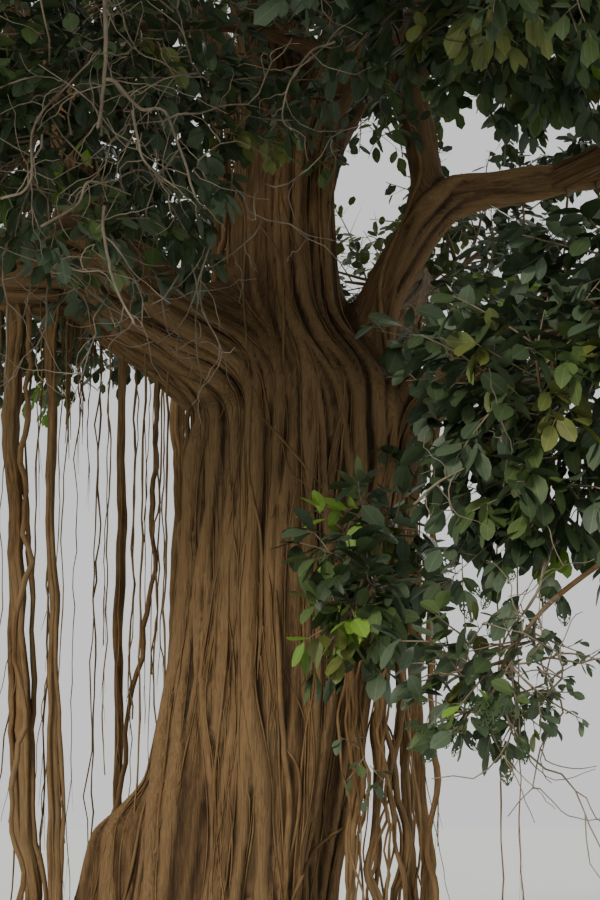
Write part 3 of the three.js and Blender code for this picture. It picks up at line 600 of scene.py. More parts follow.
FORK_SCATTER = 0.7

# Colours, each pair from dark to light

BARK_COLOURS = ((0.073, 0.041, 0.019), (0.185, 0.109, 0.049))
BARK_BROWN = (0.101, 0.055, 0.024)
BARK_PALE, BARK_DARK = (0.19, 0.138, 0.07), (0.073, 0.043, 0.02)
# The hollow colour is painted shade, laid into the bark's creases and recesses
BARK_PROUD, BARK_HOLLOW_SHADE = (0.24, 0.148, 0.068), (0.016, 0.01, 0.006)
BARK_CRACK, BARK_HAIR = (0.05, 0.03, 0.016), (0.3, 0.195, 0.096)
ROOT_COLOURS = ((0.074, 0.04, 0.017), (0.27, 0.158, 0.067))
ROOT_PALE, ROOT_DARK = (0.195, 0.135, 0.07), (0.06, 0.036, 0.018)
BRANCH_COLOURS = ((0.085, 0.055, 0.03), (0.2, 0.15, 0.09))
TWIG_COLOURS = ((0.13, 0.095, 0.06), (0.27, 0.22, 0.15))
BARE_TWIG_COLOURS = ((0.12, 0.092, 0.063), (0.27, 0.22, 0.16))
LEAF_COLOURS = {
    "deep": ((0.028, 0.047, 0.019), (0.05, 0.078, 0.029)),
    "blue": ((0.052, 0.08, 0.044), (0.086, 0.122, 0.066)),
    "mid": ((0.056, 0.09, 0.028), (0.088, 0.132, 0.038)),
    "olive": ((0.092, 0.114, 0.027), (0.138, 0.154, 0.037)),
    "bright": ((0.12, 0.23, 0.03), (0.2, 0.33, 0.05)),
}

# Floor and light: name, heading, rise, strength, softness and colour of each sun

FLOOR_REACH = 90
FLOOR_CORNERS = 64
FLOOR_DROP = 0.002
FLOOR_COLOUR = (0.56, 0.58, 0.56, 1)
SKY_COLOUR = (0.86, 0.88, 0.86, 1)
SKY_STRENGTH = 0.95
SUNS = [
    ("key", 232, 26, 2.3, 14, (1.0, 0.93, 0.82)),
    ("fill", 318, 15, 0.5, 40, (0.95, 0.98, 1.0)),
    ("rim", 62, 34, 1.6, 16, (1.0, 0.96, 0.88)),
]

# Numbers and curves


def mix(a, b, t):
    return a + (b - a) * t


def unit(v):
    return v / np.maximum(np.linalg.norm(v, axis=-1, keepdims=True), TINY)


def seeded(seed):
    """Draws between 0 and 1 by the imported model's rule."""
    state = seed

    def draw():
        nonlocal state
        state = state * DRAW_FACTOR % DRAW_RANGE
        return state / DRAW_RANGE

    return draw


def draws(name, number=0):
    return np.random.default_rng(SEEDS[name] + number)


def in_parts(rule, points, count):
    """The rule's values for many points, taken in parts to save memory."""
    return np.concatenate([rule(part) for part in np.array_split(points, count)])


def between(table, place, column):
    """A smooth value between the rows of a table whose first column is the place along it."""
    place = np.asarray(place, float)
    ends = table[:, 0]
    row = np.clip(np.searchsorted(ends, place) - 1, 0, len(ends) - 2)
    slopes = np.array([
        (table[min(k + 1, len(ends) - 1), column] - table[max(k - 1, 0), column])
        / (ends[min(k + 1, len(ends) - 1)] - ends[max(k - 1, 0)])
        for k in range(len(ends))
    ])
    span = ends[row + 1] - ends[row]
    t = np.clip((place - ends[row]) / span, 0, 1)
    return (
        table[row, column] * (1 + 2 * t) * (1 - t) ** 2
        + table[row + 1, column] * t * t * (3 - 2 * t)
        + span * slopes[row] * t * (1 - t) ** 2
        + span * slopes[row + 1] * t * t * (t - 1)
    )


def spline(points, shares):
    """Places on a Catmull-Rom curve through the points."""
    points = np.asarray(points, float)
    padded = np.vstack([2 * points[0] - points[1], points, 2 * points[-1] - points[-2]])
    place = np.clip(np.asarray(shares, float), 0, 1) * (len(points) - 1)
    k = np.minimum(place.astype(int), len(points) - 2)
    t = (place - k)[..., None]
    p0, p1, p2, p3 = (padded[k + j] for j in range(4))
    m1, m2 = 0.5 * (p2 - p0), 0.5 * (p3 - p1)
    return p1 + m1 * t + (3 * (p2 - p1) - 2 * m1 - m2) * t**2 + (2 * (p1 - p2) + m1 + m2) * t**3


def spline_way(points, share):
    step = 1e-4
    return unit(spline(points, min(share + step, 1)) - spline(points, max(share - step, 0)))


def bezier(ends, t):
    a, b, c = (np.asarray(e, float) for e in ends)
    t = np.asarray(t, float)[..., None]
    return a * (1 - t) ** 2 + b * 2 * t * (1 - t) + c * t**2


def bezier_way(ends, t):
    a, b, c = (np.asarray(e, float) for e in ends)
    t = np.asarray(t, float)[..., None]
    return unit((b - a) * (1 - t) + (c - b) * t)


def turned(v, axis, angle):
    """A vector turned about an axis."""
    cos, sin = math.cos(angle), math.sin(angle)
    return v * cos + np.cross(axis, v) * sin + axis * np.dot(axis, v) * (1 - cos)


def straight(start, end, count):
    return start + (end - start) * np.linspace(0, 1, count)[:, None]


def smoothed(line):
    line[1:-1] = 0.25 * line[:-2] + 0.5 * line[1:-1] + 0.25 * line[2:]
    return line


def arc_lengths(line):
    return np.concatenate([[0], np.cumsum(np.linalg.norm(np.diff(line, axis=0), axis=1))])


def frames_along(line):
    """The way along a line of points, and two ways across that don't twist. Takes several lines at once."""
    ways = unit(np.gradient(line, axis=-2))
    side = np.zeros_like(ways)
    first = ways[..., 0, :]
    start = np.where(np.abs(first[..., :1]) > 0.9, [0.0, 1.0, 0.0], [1.0, 0.0, 0.0])
    for k in range(line.shape[-2]):
        way = ways[..., k, :]
        start = unit(start - way * (start * way).sum(-1, keepdims=True))
        side[..., k, :] = start
    return ways, side, np.cross(ways, side)


def swelling(place, size, pace, start=0.0):
    """A factor that swells and shrinks a little along a root."""
    return 1 + size * np.sin(place * pace + start)


def wound(line, turn, away):
    """A line that winds round another, at this distance from it."""
    _, side, across = frames_along(line)
    return line + side * (np.cos(turn) * away)[:, None] + across * (np.sin(turn) * away)[:, None]


# The limbs' lines


def trunk_middle(height):
    height = np.asarray(height, float)
    return np.stack([between(TRUNK_STATIONS, height, 1), between(TRUNK_STATIONS, height, 2), height], -1)


def heading_gap(angle, heading):
    return (np.degrees(angle) - heading + 180) % 360 - 180


def trunk_radius(angle, height):
    half_width = between(TRUNK_STATIONS, height, 3)
    half_depth = between(TRUNK_STATIONS, height, 4)
    oval = half_width * half_depth / np.hypot(half_depth * np.cos(angle), half_width * np.sin(angle))
    flutes = sum(
        depth * np.cos(count * angle + turn * height + phase)
        for count, depth, turn, phase in FLUTES
    )
    roots = sum(
        spread * np.exp(-height / fade - (heading_gap(angle, heading) / width) ** 2)
        for heading, spread, fade, width in FOOT_ROOTS
    )
    rise = np.clip((height - STUMP["level"]) / (STUMP["top"] - STUMP["level"]), 0, 1)
    shoulder = 1 - rise * rise * (3 - 2 * rise)
    from_stump = heading_gap(angle, STUMP["heading"]) / STUMP["width"]
    return oval * (1 + flutes) + roots + STUMP["spread"] * shoulder * np.exp(-(from_stump**2))


def level_offset(heading, reach):
    angle = math.radians(heading)
    return np.array([reach * math.cos(angle), reach * math.sin(angle), 0])


class Limb:
    """A bough: its curve's points, its radii, and a line of places for tests."""

    def __init__(self, name, on, at, via, thick, mass, tip, limbs):
        start = trunk_middle(at) if on == "trunk" else spline(limbs[on].points, at)
        passed = [np.array(p, float) for p in via]
        middle, reach = (np.array(p, float) for p in mass)
        short = unit(middle - passed[-1]) * reach * TIP_SHARE
        self.name = name
        self.on = on
        self.at = at
        self.points = np.array([start, *passed, middle - short if tip is None else np.array(tip, float)])
        self.thick = thick
        self.mass = mass
        self.line = self.places(np.linspace(0, 1, LIMB_PLACES))
        self.radii = self.radius(np.linspace(0, 1, LIMB_PLACES))

    def places(self, shares):
        return spline(self.points, shares)

    def radius(self, share):
        return mix(*self.thick, np.asarray(share, float) ** LIMB_TAPER)


def grow_limbs():
    limbs = {}
    for name, *rest in BOUGHS:
        limbs[name] = Limb(name, *rest, limbs)
    return limbs


def curtain_roots():
    """Name, top, foot, radii and sway of each thick root of the curtain."""
    draw = seeded(FIRST_SEED)
    found = []
    for k in range(CURTAIN["count"]):
        share = k / (CURTAIN["count"] - 1)
        top_heading, foot_heading = (mix(*CURTAIN[key], share) for key in ("top_headings", "foot_headings"))
        top = trunk_middle(CURTAIN["top"]) + level_offset(top_heading, CURTAIN["top_reach"])
        foot = trunk_middle(0) + level_offset(foot_heading, mix(*CURTAIN["foot_reach"], share))
        thick = CURTAIN["thick"] + CURTAIN["thicker"] * (k % 2)
        sway = (mix(-CURTAIN["sway"], CURTAIN["sway"], draw()), -CURTAIN["sway"] * draw())
        found.append((f"{CURTAIN['name']}_{k + 1}", top, foot, (thick, thick), sway))
    return found


def root_line(top, foot, sway):
    """A root's line, bowed by its sway, with a slow wave that differs from foot to foot."""
    size, waves, start = ROOT_BOW
    bow = np.sin(math.pi * ROOT_SHARES) * (1 + size * np.sin(waves * ROOT_SHARES + start * foot[0]))
    points = top + (foot - top) * ROOT_SHARES[:, None] + np.outer(bow, [*sway, 0])
    return spline(points, np.linspace(0, 1, ROOT_PLACES))


def grow_roots(limbs):
    """Name, line and the radius at both ends of each aerial root."""
    hung = [
        (name, limbs[on].places(at), np.array(foot, float), thick, sway)
        for name, on, at, foot, thick, sway in HANGING_ROOTS
    ]
    hung += curtain_roots()
    return [(name, root_line(top, foot, sway), thick) for name, top, foot, thick, sway in hung]


# Meshes from arrays


def thinned(made, share):
    """Leaves a piece with this share of its triangles, most of them where it curves."""
    modifier = made.modifiers.new("thinned", "DECIMATE")
    modifier.ratio = share
    fewer = bpy.data.meshes.new_from_object(made.evaluated_get(bpy.context.evaluated_depsgraph_get()))
    made.modifiers.clear()
    made.data = fewer


class Skin:
    """Gathers vertices, faces and the grain's coordinates, and makes one piece of them."""

    def __init__(self):
        self.vertices, self.grain, self.faces, self.count = [], [], [], 0

    def add(self, vertices, faces, grain=None):
        self.vertices.append(vertices)
        self.grain.append(vertices if grain is None else grain)
        self.faces.extend(f + self.count for f in faces if len(f))
        self.count += len(vertices)

    def triangles(self):
        return sum(len(f) * (f.shape[1] - 2) for f in self.faces)

    def piece(self, name, material, slot, replaced=(), extra=None):
        mesh = bpy.data.meshes.new(name)
        vertices = np.concatenate(self.vertices).astype(np.float32)
        loops = np.concatenate([f.ravel() for f in self.faces]).astype(np.int32)
        sizes = np.concatenate([np.full(len(f), f.shape[1]) for f in self.faces])
        starts = np.concatenate([[0], np.cumsum(sizes)[:-1]]).astype(np.int32)
        mesh.vertices.add(len(vertices))
        mesh.vertices.foreach_set("co", vertices.ravel())
        mesh.loops.add(len(loops))
        mesh.loops.foreach_set("vertex_index", loops)
        mesh.polygons.add(len(sizes))
        mesh.polygons.foreach_set("loop_start", starts)
        mesh.polygons.foreach_set("use_smooth", np.ones(len(sizes), bool))
        grain = mesh.attributes.new("grain", "FLOAT_VECTOR", "POINT")
        grain.data.foreach_set("vector", np.concatenate(self.grain).astype(np.float32).ravel())
        for key, values in (extra or {}).items():
            mesh.attributes.new(key, "FLOAT", "POINT").data.foreach_set("value", values.astype(np.float32))
        mesh.update(calc_edges=True)
        mesh.validate()
        mesh.materials.append(material)
        made = bpy.data.objects.new(name, mesh)
        bpy.context.scene.collection.objects.link(made)
        if self.triangles() > MOST_TRIANGLES:
            thinned(made, MOST_TRIANGLES / self.triangles())
        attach(made, "root")
        if replaced:
            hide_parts(*replaced)
        return made


def repeated(faces, copies, each):
    """The faces of several like meshes that have so many vertices each."""
    return (faces[None] + each * np.arange(copies)[:, None, None]).reshape(-1, faces.shape[1])


def tubes(skin, lines, radii, sides, offset=0.0, open_end=False):
    """Adds tubes along lines (m, n, 3) with radii (m, n) that end in a point, unless the end is left wide."""
    m, n = radii.shape
    ways, side, across = frames_along(lines)
    angles = WHOLE_TURN * np.arange(sides) / sides
    cos, sin = np.cos(angles)[:, None], np.sin(angles)[:, None]
    out = side[:, :, None] * cos + across[:, :, None] * sin
    rings = lines[:, :, None] + out * radii[:, :, None, None]
    steps = np.linalg.norm(np.diff(lines, axis=1), axis=2)
    along = np.concatenate([np.zeros((m, 1)), np.cumsum(steps, 1)], 1) / GRAIN_STRETCH + offset
    wide = radii[:, :, None]
    grain = np.stack(np.broadcast_arrays(wide * cos[:, 0], wide * sin[:, 0], along[:, :, None]), -1)
    beyond = wide[:, [0, -1]] * [[-WIDE_END], [WIDE_END if open_end else POINTED_END]]
    ends = lines[:, [0, -1]] + ways[:, [0, -1]] * beyond
    vertices = np.concatenate([rings.reshape(m, -1, 3), ends], 1).reshape(-1, 3)
    coords = np.concatenate([grain.reshape(m, -1, 3), grain[:, [0, -1], 0]], 1).reshape(-1, 3)
    k = np.arange(sides)
    following = (k + 1) % sides
    ring = sides * np.arange(n - 1)[:, None]
    quads = np.stack([ring + k, ring + following, ring + sides + following, ring + sides + k], -1)
    last = (n - 1) * sides
    caps = np.concatenate([
        np.stack([following, k, np.full(sides, n * sides)], -1),
        np.stack([last + k, last + following, np.full(sides, n * sides + 1)], -1),
    ])
    skin.add(vertices, [repeated(faces, m, n * sides + 2) for faces in (quads.reshape(-1, 4), caps)], coords)


def tube(skin, line, radius, sides, rng=None, open_end=False):
    """Adds one tube, with a place of its own in the grain where there is a draw for it."""
    offset = rng.uniform(*GRAIN_PLACES) if rng else 0.0
    tubes(skin, line[None], radius[None], sides, offset, open_end)


def spikes(skin, lines, thick):
    """Adds three-sided twigs that taper to a point along straight lines (m, 2, 3)."""
    way = unit(lines[:, 1] - lines[:, 0])
    side = unit(np.cross(way, UP) + NUDGE)
    over = np.cross(side, way)
    ring = [lines[:, 0] + thick * (side * math.cos(a) + over * math.sin(a)) for a in SPIKE_CORNERS]
    vertices = np.stack([*ring, lines[:, 1]], 1).reshape(-1, 3)
    skin.add(vertices, [repeated(SPIKE_FACES, len(lines), len(ring) + 1)])


def above_ground(skin):
    for vertices in skin.vertices:
        np.maximum(vertices[:, 2], 0, out=vertices[:, 2])


# Clearance from limbs


class Segments:
    """The straight tapering pieces of lines that have a radius at every place."""

    def __init__(self, lines):
        self.start = np.concatenate([line[:-1] for line, _ in lines])
        self.span = np.concatenate([np.diff(line, axis=0) for line, _ in lines])
        self.radius = np.concatenate([radii[:-1] for _, radii in lines])
        self.growth = np.concatenate([np.diff(radii) for _, radii in lines])

    def some(self, chosen, origin=0.0, kind=float):
        """The chosen pieces, measured from an origin."""
        found = Segments.__new__(Segments)
        found.start = (self.start[chosen] - origin).astype(kind)
        found.span = self.span[chosen].astype(kind)
        found.radius, found.growth = self.radius[chosen], self.growth[chosen]
        return found

    def measure(self, points):
        """For each point and piece: the gap, the share along the piece, and the way from it to the point."""
        away = points[:, None] - self.start
        share = np.clip((away * self.span).sum(-1) / np.maximum((self.span**2).sum(-1), TINY), 0, 1)
        away -= share[..., None] * self.span
        return np.sqrt((away**2).sum(-1)) - self.radius - share * self.growth, share, away

    def gap(self, points):
        """How far each point is outside the nearest piece."""
        return self.measure(points)[0].min(1) if len(self.start) else np.full(len(points), FAR)

    def near(self, middle, reach):
        """Only the pieces that pass within reach of a place."""
        return self.some(self.measure(middle[None])[0][0] < reach)


def obstacles_of(limbs, roots):
    lines = [(limb.line, limb.radii) for limb in limbs.values()]
    heights = TRUNK_TOP * np.arange(TRUNK_TEST_PLACES) / (TRUNK_TEST_PLACES - 1)
    lines.append((trunk_middle(heights), TRUNK_TEST_WIDTH * between(TRUNK_STATIONS, heights, 3)))
    for _, line, thick in roots:
        some = line[np.linspace(0, len(line) - 1, ROOT_TEST_PLACES).round().astype(int)]
        lines.append((some, np.full(ROOT_TEST_PLACES, (1 + ROOT_FLARE[0]) * max(thick))))
    return Segments(lines)


# The merged surface of the trunk and the thick boughs


class SkinBough:
    """The part of a bough inside the skin's room, with what its grain needs."""

    def __init__(self, limb, start_grain):
        shares = np.linspace(0, 1, SKIN_PLACES)
        line = limb.places(shares)
        outside = np.nonzero(((line < SKIN_LOW) | (line > SKIN_HIGH)).any(1))[0]
        last = outside[0] if len(outside) else len(shares) - 1
        self.limb = limb
        self.share = shares[last]
        self.line = line[: last + 1 : 2]
        self.radii = limb.radius(np.linspace(0, self.share, len(self.line)))
        self.segments = Segments([(self.line, self.radii)])
        self.arcs = arc_lengths(self.line) + start_grain
        ways, side, across = frames_along(self.line)
        self.way, self.side, self.across = ways[:-1], side[:-1], across[:-1]
        reach = self.radii.max() + SKIN_REACH
        self.low, self.high = self.line.min(0) - reach, self.line.max(0) + reach
        self.blend = BOUGH_BLEND[0] + BOUGH_BLEND[1] * limb.thick[0]

    def nearest(self, points):
        """The gap to the nearest piece, which piece it is, the share along it and the way from it."""
        gap, share, away = self.segments.measure(points)
        k = gap.argmin(1)
        row = np.arange(len(points))
        return gap[row, k], k, share[row, k], away[row, k]

    def within(self, points):
        return np.nonzero(((points > self.low) & (points < self.high)).all(1))[0]


def trunk_gap(points):
    height = np.clip(points[:, 2], 0, TRUNK_TOP)
    offset = points[:, :2] - trunk_middle(height)[:, :2]
    out = np.hypot(offset[:, 0], offset[:, 1]) - trunk_radius(np.arctan2(offset[:, 1], offset[:, 0]), height)
    above = points[:, 2] - (TRUNK_TOP - TRUNK_CAP)
    return np.where(above > 0, np.hypot(np.maximum(out + TRUNK_CAP, 0), above) - TRUNK_CAP, out)


def merged(a, b, blend):
    h = np.maximum(blend - np.abs(a - b), 0) / blend
    return np.minimum(a, b) - h * h * blend / 4


class Bark:
    """The merged surface, with low lumps all over it."""

    def __init__(self, limbs):
        rng = draws("lumps")
        count = LUMPS["count"]
        ways = unit(rng.normal(size=(count, 3))) * LUMPS["ways"]
        self.lump_ways = ways * rng.uniform(*LUMPS["waves"], (count, 1))
        self.lump_phases = rng.uniform(*PHASES, count)
        self.lump_sizes = rng.uniform(*LUMPS["sizes"], count)
        self.boughs = []
        arcs = {"trunk": 0.0}
        for limb in limbs.values():
            start_grain = limb.at if limb.on == "trunk" else arcs[limb.on] + limb.at * GRAIN_SHIFT
            arcs[limb.name] = start_grain
            inside = ((limb.line[0] > SKIN_LOW) & (limb.line[0] < SKIN_HIGH)).all()
            if limb.thick[0] >= SKIN_BOUGH and inside:
                self.boughs.append(SkinBough(limb, start_grain))

    def gap(self, points):
        found = trunk_gap(points)
        for bough in self.boughs:
            some = bough.within(points)
            if len(some):
                found[some] = merged(found[some], bough.nearest(points[some])[0], bough.blend)
        return found + (np.sin(points @ self.lump_ways.T + self.lump_phases) * self.lump_sizes).sum(1)

    def normal(self, points):
        here = self.gap(points)
        out = np.stack([self.gap(points + NORMAL_STEP * axis) - here for axis in np.eye(3)], -1)
        return unit(out), here

    def way_up(self, points):
        """The way along the limbs, away from the ground."""
        weight = np.exp(-np.maximum(trunk_gap(points), 0) / WAY_FADE)
        total = UP * weight[:, None]
        for bough in self.boughs:
            gap, k, _, _ = bough.nearest(points)
            total += bough.way[k] * (BOUGH_PULL * np.exp(-np.maximum(gap, 0) / WAY_FADE))[:, None]
        return unit(total)

    def grain(self, points):
        """Coordinates across and along the nearest limbs, for the bark's pattern."""
        weight = np.exp(-np.maximum(trunk_gap(points), 0) / GRAIN_FADE)[:, None] + LEAST_WEIGHT
        total = weight * points / [1, 1, GRAIN_STRETCH]
        for bough in self.boughs:
            some = bough.within(points)
            if not len(some):
                continue
            gap, k, t, away = bough.nearest(points[some])
            along = mix(bough.arcs[k], bough.arcs[k + 1], t) / GRAIN_STRETCH
            local = np.stack([(away * bough.side[k]).sum(1), (away * bough.across[k]).sum(1), along], -1)
            share = np.exp(-np.maximum(gap, 0) / GRAIN_FADE)[:, None]
            total[some] += share * local
            weight[some] += share
        return total / weight


# Strands that climb the surface


def climb(bark, starts, sunk, rng, steps, step, wander):
    """Lines that climb the surface from their starts, each sunk by its own depth, and their lengths."""
    count = len(starts)
    places = [starts]
    alive = np.full(count, steps)
    phase = rng.uniform(*PHASES, (count, 3))
    pace = rng.uniform(*CLIMB_PACE, (count, 3)) * CLIMB_PACES
    size = rng.uniform(*CLIMB_SIZE, (count, 3)) * CLIMB_SIZES * wander
    normal, _ = bark.normal(starts)
    for k in range(steps):
        here = places[-1]
        way = bark.way_up(here)
        side = np.cross(normal, way)
        way = way + side * (size * np.sin(phase + pace * k * step)).sum(1)[:, None]
        way = unit(way - normal * (way * normal).sum(1)[:, None])
        there = here + step * way
        normal, gap = bark.normal(there)
        there = there - normal * np.clip(gap + sunk, -CLIMB_SNAP, CLIMB_SNAP)[:, None]
        outside = ((there < SKIN_LOW + SKIN_EDGE) | (there > SKIN_HIGH - SKIN_EDGE)).any(1)
        alive[outside & (alive == steps)] = k
        places.append(there)
    return np.stack(places, 1), alive


def foot_starts(headings, height):
    """Places on the trunk at these headings and heights."""
    out = np.stack([np.cos(headings), np.sin(headings), 0 * headings], -1)
    return trunk_middle(height) + out * trunk_radius(headings, height)[:, None]


def bough_starts(bark, rng):
    """Places round the boughs, a little past where they leave."""
    found = []
    for bough in bark.boughs:
        for turn in WHOLE_TURN * (np.arange(BOUGH_STRANDS) + rng.random()) / BOUGH_STRANDS:
            k = int(len(bough.side) * rng.uniform(*BOUGH_STRAND_STARTS))
            out = bough.side[k] * math.cos(turn) + bough.across[k] * math.sin(turn)
            found.append(bough.line[k] + out * bough.radii[k])
    return np.array(found)


def strand_radii(thick, count, from_foot):
    """Radii of a strand that tapers at both ends, but not at the bottom where it starts from the ground."""
    k = np.arange(count + 1)
    from_bottom = k + (STRAND_BOTTOM if from_foot else 0)
    ends = np.stack([(count - k) / STRAND_TOP, from_bottom / STRAND_BOTTOM])
    swell = swelling(k, *STRAND_SWELL, thick * STRAND_OWN_PHASE)
    return thick * np.clip(ends, STRAND_LEAST, 1).prod(0) * swell


def fused_strands(bark):
    """Strands half sunk in the surface: lines with a radius at every place."""
    rng = draws("strands")
    scatter = rng.uniform(-STRAND_SCATTER, STRAND_SCATTER, STRANDS)
    headings = WHOLE_TURN * (np.arange(STRANDS) + scatter) / STRANDS
    from_foot = rng.random(STRANDS) < STRANDS_FROM_FOOT
    height = np.where(from_foot, STRAND_FOOT, rng.uniform(*STRAND_LEVELS, STRANDS))
    starts = np.concatenate([foot_starts(headings, height), bough_starts(bark, rng)])
    count = len(starts)
    thick = rng.choice(STRAND_RADII, count, p=STRAND_SHARES)
    thick[STRANDS:] = rng.choice(STRAND_RADII[:3], count - STRANDS, p=BOUGH_STRAND_SHARES)
    sunk = thick * rng.uniform(*STRAND_SUNK, count)
    lines, alive = climb(bark, starts, sunk, rng, STRAND_STEPS[1], STRAND_STEP, STRAND_WANDER)
    lengths = np.minimum(alive, rng.integers(*STRAND_STEPS, count))
    return [
        (line[: length + 1], strand_radii(radius, length, line[0, 2] < NEAR_GROUND))
        for line, radius, length in zip(lines, thick, lengths) if length >= SHORTEST_CLIMB
    ]


# The surface as a net


def lattice(*steps):
    return np.stack(np.meshgrid(*steps, indexing="ij"), -1).reshape(-1, 3)


def blocks_near(bark):
    """The blocks of the grid that the surface may pass, as whole-number places."""
    size = BLOCK * VOXEL
    count = np.ceil((GRID_HIGH - (SKIN_LOW - GRID_MARGIN)) / size).astype(int)
    places = lattice(*(np.arange(c) for c in count))
    centres = GRID_LOW + (places + 0.5) * size
    reach = BLOCK_REACH[0] * size + BLOCK_REACH[1]
    reach = reach * (1 + FOOT_REACH[0] * np.exp(-np.maximum(centres[:, 2], 0) / FOOT_REACH[1]))
    return places[np.abs(in_parts(bark.gap, centres, 12)) < reach]


def finer(values, axis):
    """Values at twice the places along an axis, halfway between their neighbours."""
    values = np.moveaxis(values, axis, 0)
    found = np.empty((2 * len(values) - 1, *values.shape[1:]), values.dtype)
    found[0::2] = values
    found[1::2] = 0.5 * (values[1:] + values[:-1])
    return np.moveaxis(found, 0, axis)


def block_values(bark, blocks):
    """The surface's field at the corners of every block, taken at every other corner and filled in."""
    half = BLOCK // 2 + 1
    grid = lattice(*[np.arange(half) * 2 * VOXEL] * 3)

    def values_of(lows):
        return bark.gap((lows[:, None] + grid).reshape(-1, 3)).reshape(-1, half, half, half)

    values = in_parts(values_of, GRID_LOW + blocks * BLOCK * VOXEL, max(1, len(blocks) // BLOCKS_AT_ONCE))
    for axis in (1, 2, 3):
        values = finer(values, axis)
    return values.astype(np.float32)


def carve_strands(values, blocks, strands):
    """Joins the strands to the field, block by block."""
    strands = Segments(strands)
    size = BLOCK * VOXEL
    grid = lattice(*[np.arange(BLOCK + 1) * VOXEL] * 3).astype(np.float32)
    middles = strands.start + strands.span / 2
    reach = np.linalg.norm(strands.span, axis=1) / 2 + strands.radius + STRAND_BLEND + 0.01
    lows = GRID_LOW + blocks * size
    for part in np.array_split(np.arange(len(blocks)), max(1, len(blocks) // BLOCKS_AT_ONCE)):
        out = np.maximum(np.abs(middles[None] - (lows[part, None] + size / 2)) - size / 2, 0)
        touching = (out**2).sum(-1) < reach**2
        for block, touched in zip(part, touching):
            if touched.any():
                gap = strands.some(touched, lows[block], np.float32).gap(grid)
                gap = gap.reshape(values[block].shape).astype(np.float32)
                values[block] = merged(values[block], gap, STRAND_BLEND)
    return values


def corner_values(field, corner):
    """The field at one corner of every cell of the blocks."""
    x, y, z = corner
    return field[:, x:BLOCK + x, y:BLOCK + y, z:BLOCK + z]


def net_vertices(blocks, values):
    """The middle of the crossings of each cell that the surface passes, and the cells' places in the grid."""
    corners = lattice((0, 1), (0, 1), (0, 1))
    filled = sum(corner_values(values < 0, corner).astype(np.int8) for corner in corners)
    b, *cell = np.nonzero((filled > 0) & (filled < len(corners)))
    cell = np.stack(cell, -1)
    total = np.zeros((len(b), 3))
    crossings = np.zeros(len(b))
    for start in corners:
        for axis in np.eye(3, dtype=int)[start == 0]:
            va, vb = (values[(b, *(cell + corner).T)] for corner in (start, start + axis))
            hit = (va < 0) != (vb < 0)
            t = np.where(hit, va / np.where(hit, va - vb, 1), 0)
            total += np.where(hit[:, None], start + t[:, None] * axis, 0)
            crossings += hit
    cells = blocks[b] * BLOCK + cell
    return GRID_LOW + (cells + total / crossings[:, None]) * VOXEL, cells


def surface_net(blocks, values):
    """Vertices and quads of the surface where the field passes zero."""
    vertices, cells = net_vertices(blocks, values)
    _, rows, columns = (blocks.max(0) + 2) * BLOCK

    def number(cell):
        return (cell[:, 0] * rows + cell[:, 1]) * columns + cell[:, 2]

    keys = number(cells)
    order = np.argsort(keys)
    vertices, keys = vertices[order], keys[order]
    quads = []
    for axis in range(3):
        u, v = (axis + 1) % 3, (axis + 2) % 3
        first, last = (corner_values(values < 0, end) for end in ((0, 0, 0), np.eye(3, dtype=int)[axis]))
        b, *cell = np.nonzero(first != last)
        outward = first[(b, *cell)]
        ring = []
        for du, dv in ((-1, -1), (0, -1), (0, 0), (-1, 0)):
            other = blocks[b] * BLOCK + np.stack(cell, -1)
            other[:, u] += du
            other[:, v] += dv
            ring.append(number(other))
        ring = np.stack(ring, -1)
        ring[~outward] = ring[~outward][:, ::-1]
        found = np.searchsorted(keys, ring).clip(0, len(keys) - 1)
        quads.append(found[(keys[found] == ring).all(1)])
    vertices[vertices[:, 2] < GROUND_SNAP, 2] = 0
    return vertices, np.concatenate(quads)


def skin_of(bark, strands):
    blocks = blocks_near(bark)
    values = block_values(bark, blocks)
    values = carve_strands(values, blocks, strands)
    level = np.arange(BLOCK + 1) * VOXEL
    heights = GRID_LOW[2] + blocks[:, 2, None] * BLOCK * VOXEL + level
    values = np.maximum(values, -heights[:, None, None, :].astype(np.float32))
    return surface_net(blocks, values)


# Boughs beyond the skin


def grown_on(skin, line, radius, seed):
    """Thin strands that lie along a bough, half sunk in it."""
    rng = draws("bough_strands", seed)
    share = np.linspace(0, 1, len(line))
    for k in range(BOUGH_STRANDS):
        twist = rng.uniform(-BOUGH_STRAND_TWIST, BOUGH_STRAND_TWIST) * share
        wave = BOUGH_STRAND_WAVE[0] * np.sin(BOUGH_STRAND_WAVE[1] * share + k)
        turn = WHOLE_TURN * k / BOUGH_STRANDS + twist + wave
        thick = radius * rng.uniform(*BOUGH_STRAND_RADII) * swelling(share, *BOUGH_STRAND_SWELL, k)
        tube(skin, wound(line, turn, radius), thick, 5, rng, open_end=True)


def bough_tubes(skin, limbs, bark):
    """The outer boughs, as tubes that start a little inside the skin or their parent bough."""
    inside = {bough.limb.name: bough.share for bough in bark.boughs}
    for k, limb in enumerate(limbs.values()):
        start = inside.get(limb.name, 0)
        if start >= 0.999:
            continue
        length = arc_lengths(limb.line)[-1]
        start = max(start - OUTER_OVERLAP / length, 0)
        share = np.linspace(start, 1, max(6, round(length * (1 - start) / OUTER_STEP)))
        line = limb.places(share)
        arc = arc_lengths(line)
        swell = sum(np.sin(arc * pace + turn * k) * size for pace, turn, size in OUTER_SWELLS)
        radius = limb.radius(share) * (1 + swell)
        sides = 12 if limb.thick[0] > THICK_BOUGH else 8
        tubes(skin, line[None], radius[None], sides, offset=k, open_end=True)
        if limb.thick[0] > STRANDED_BOUGH:
            grown_on(skin, line[::2], radius[::2], k)


# Aerial roots


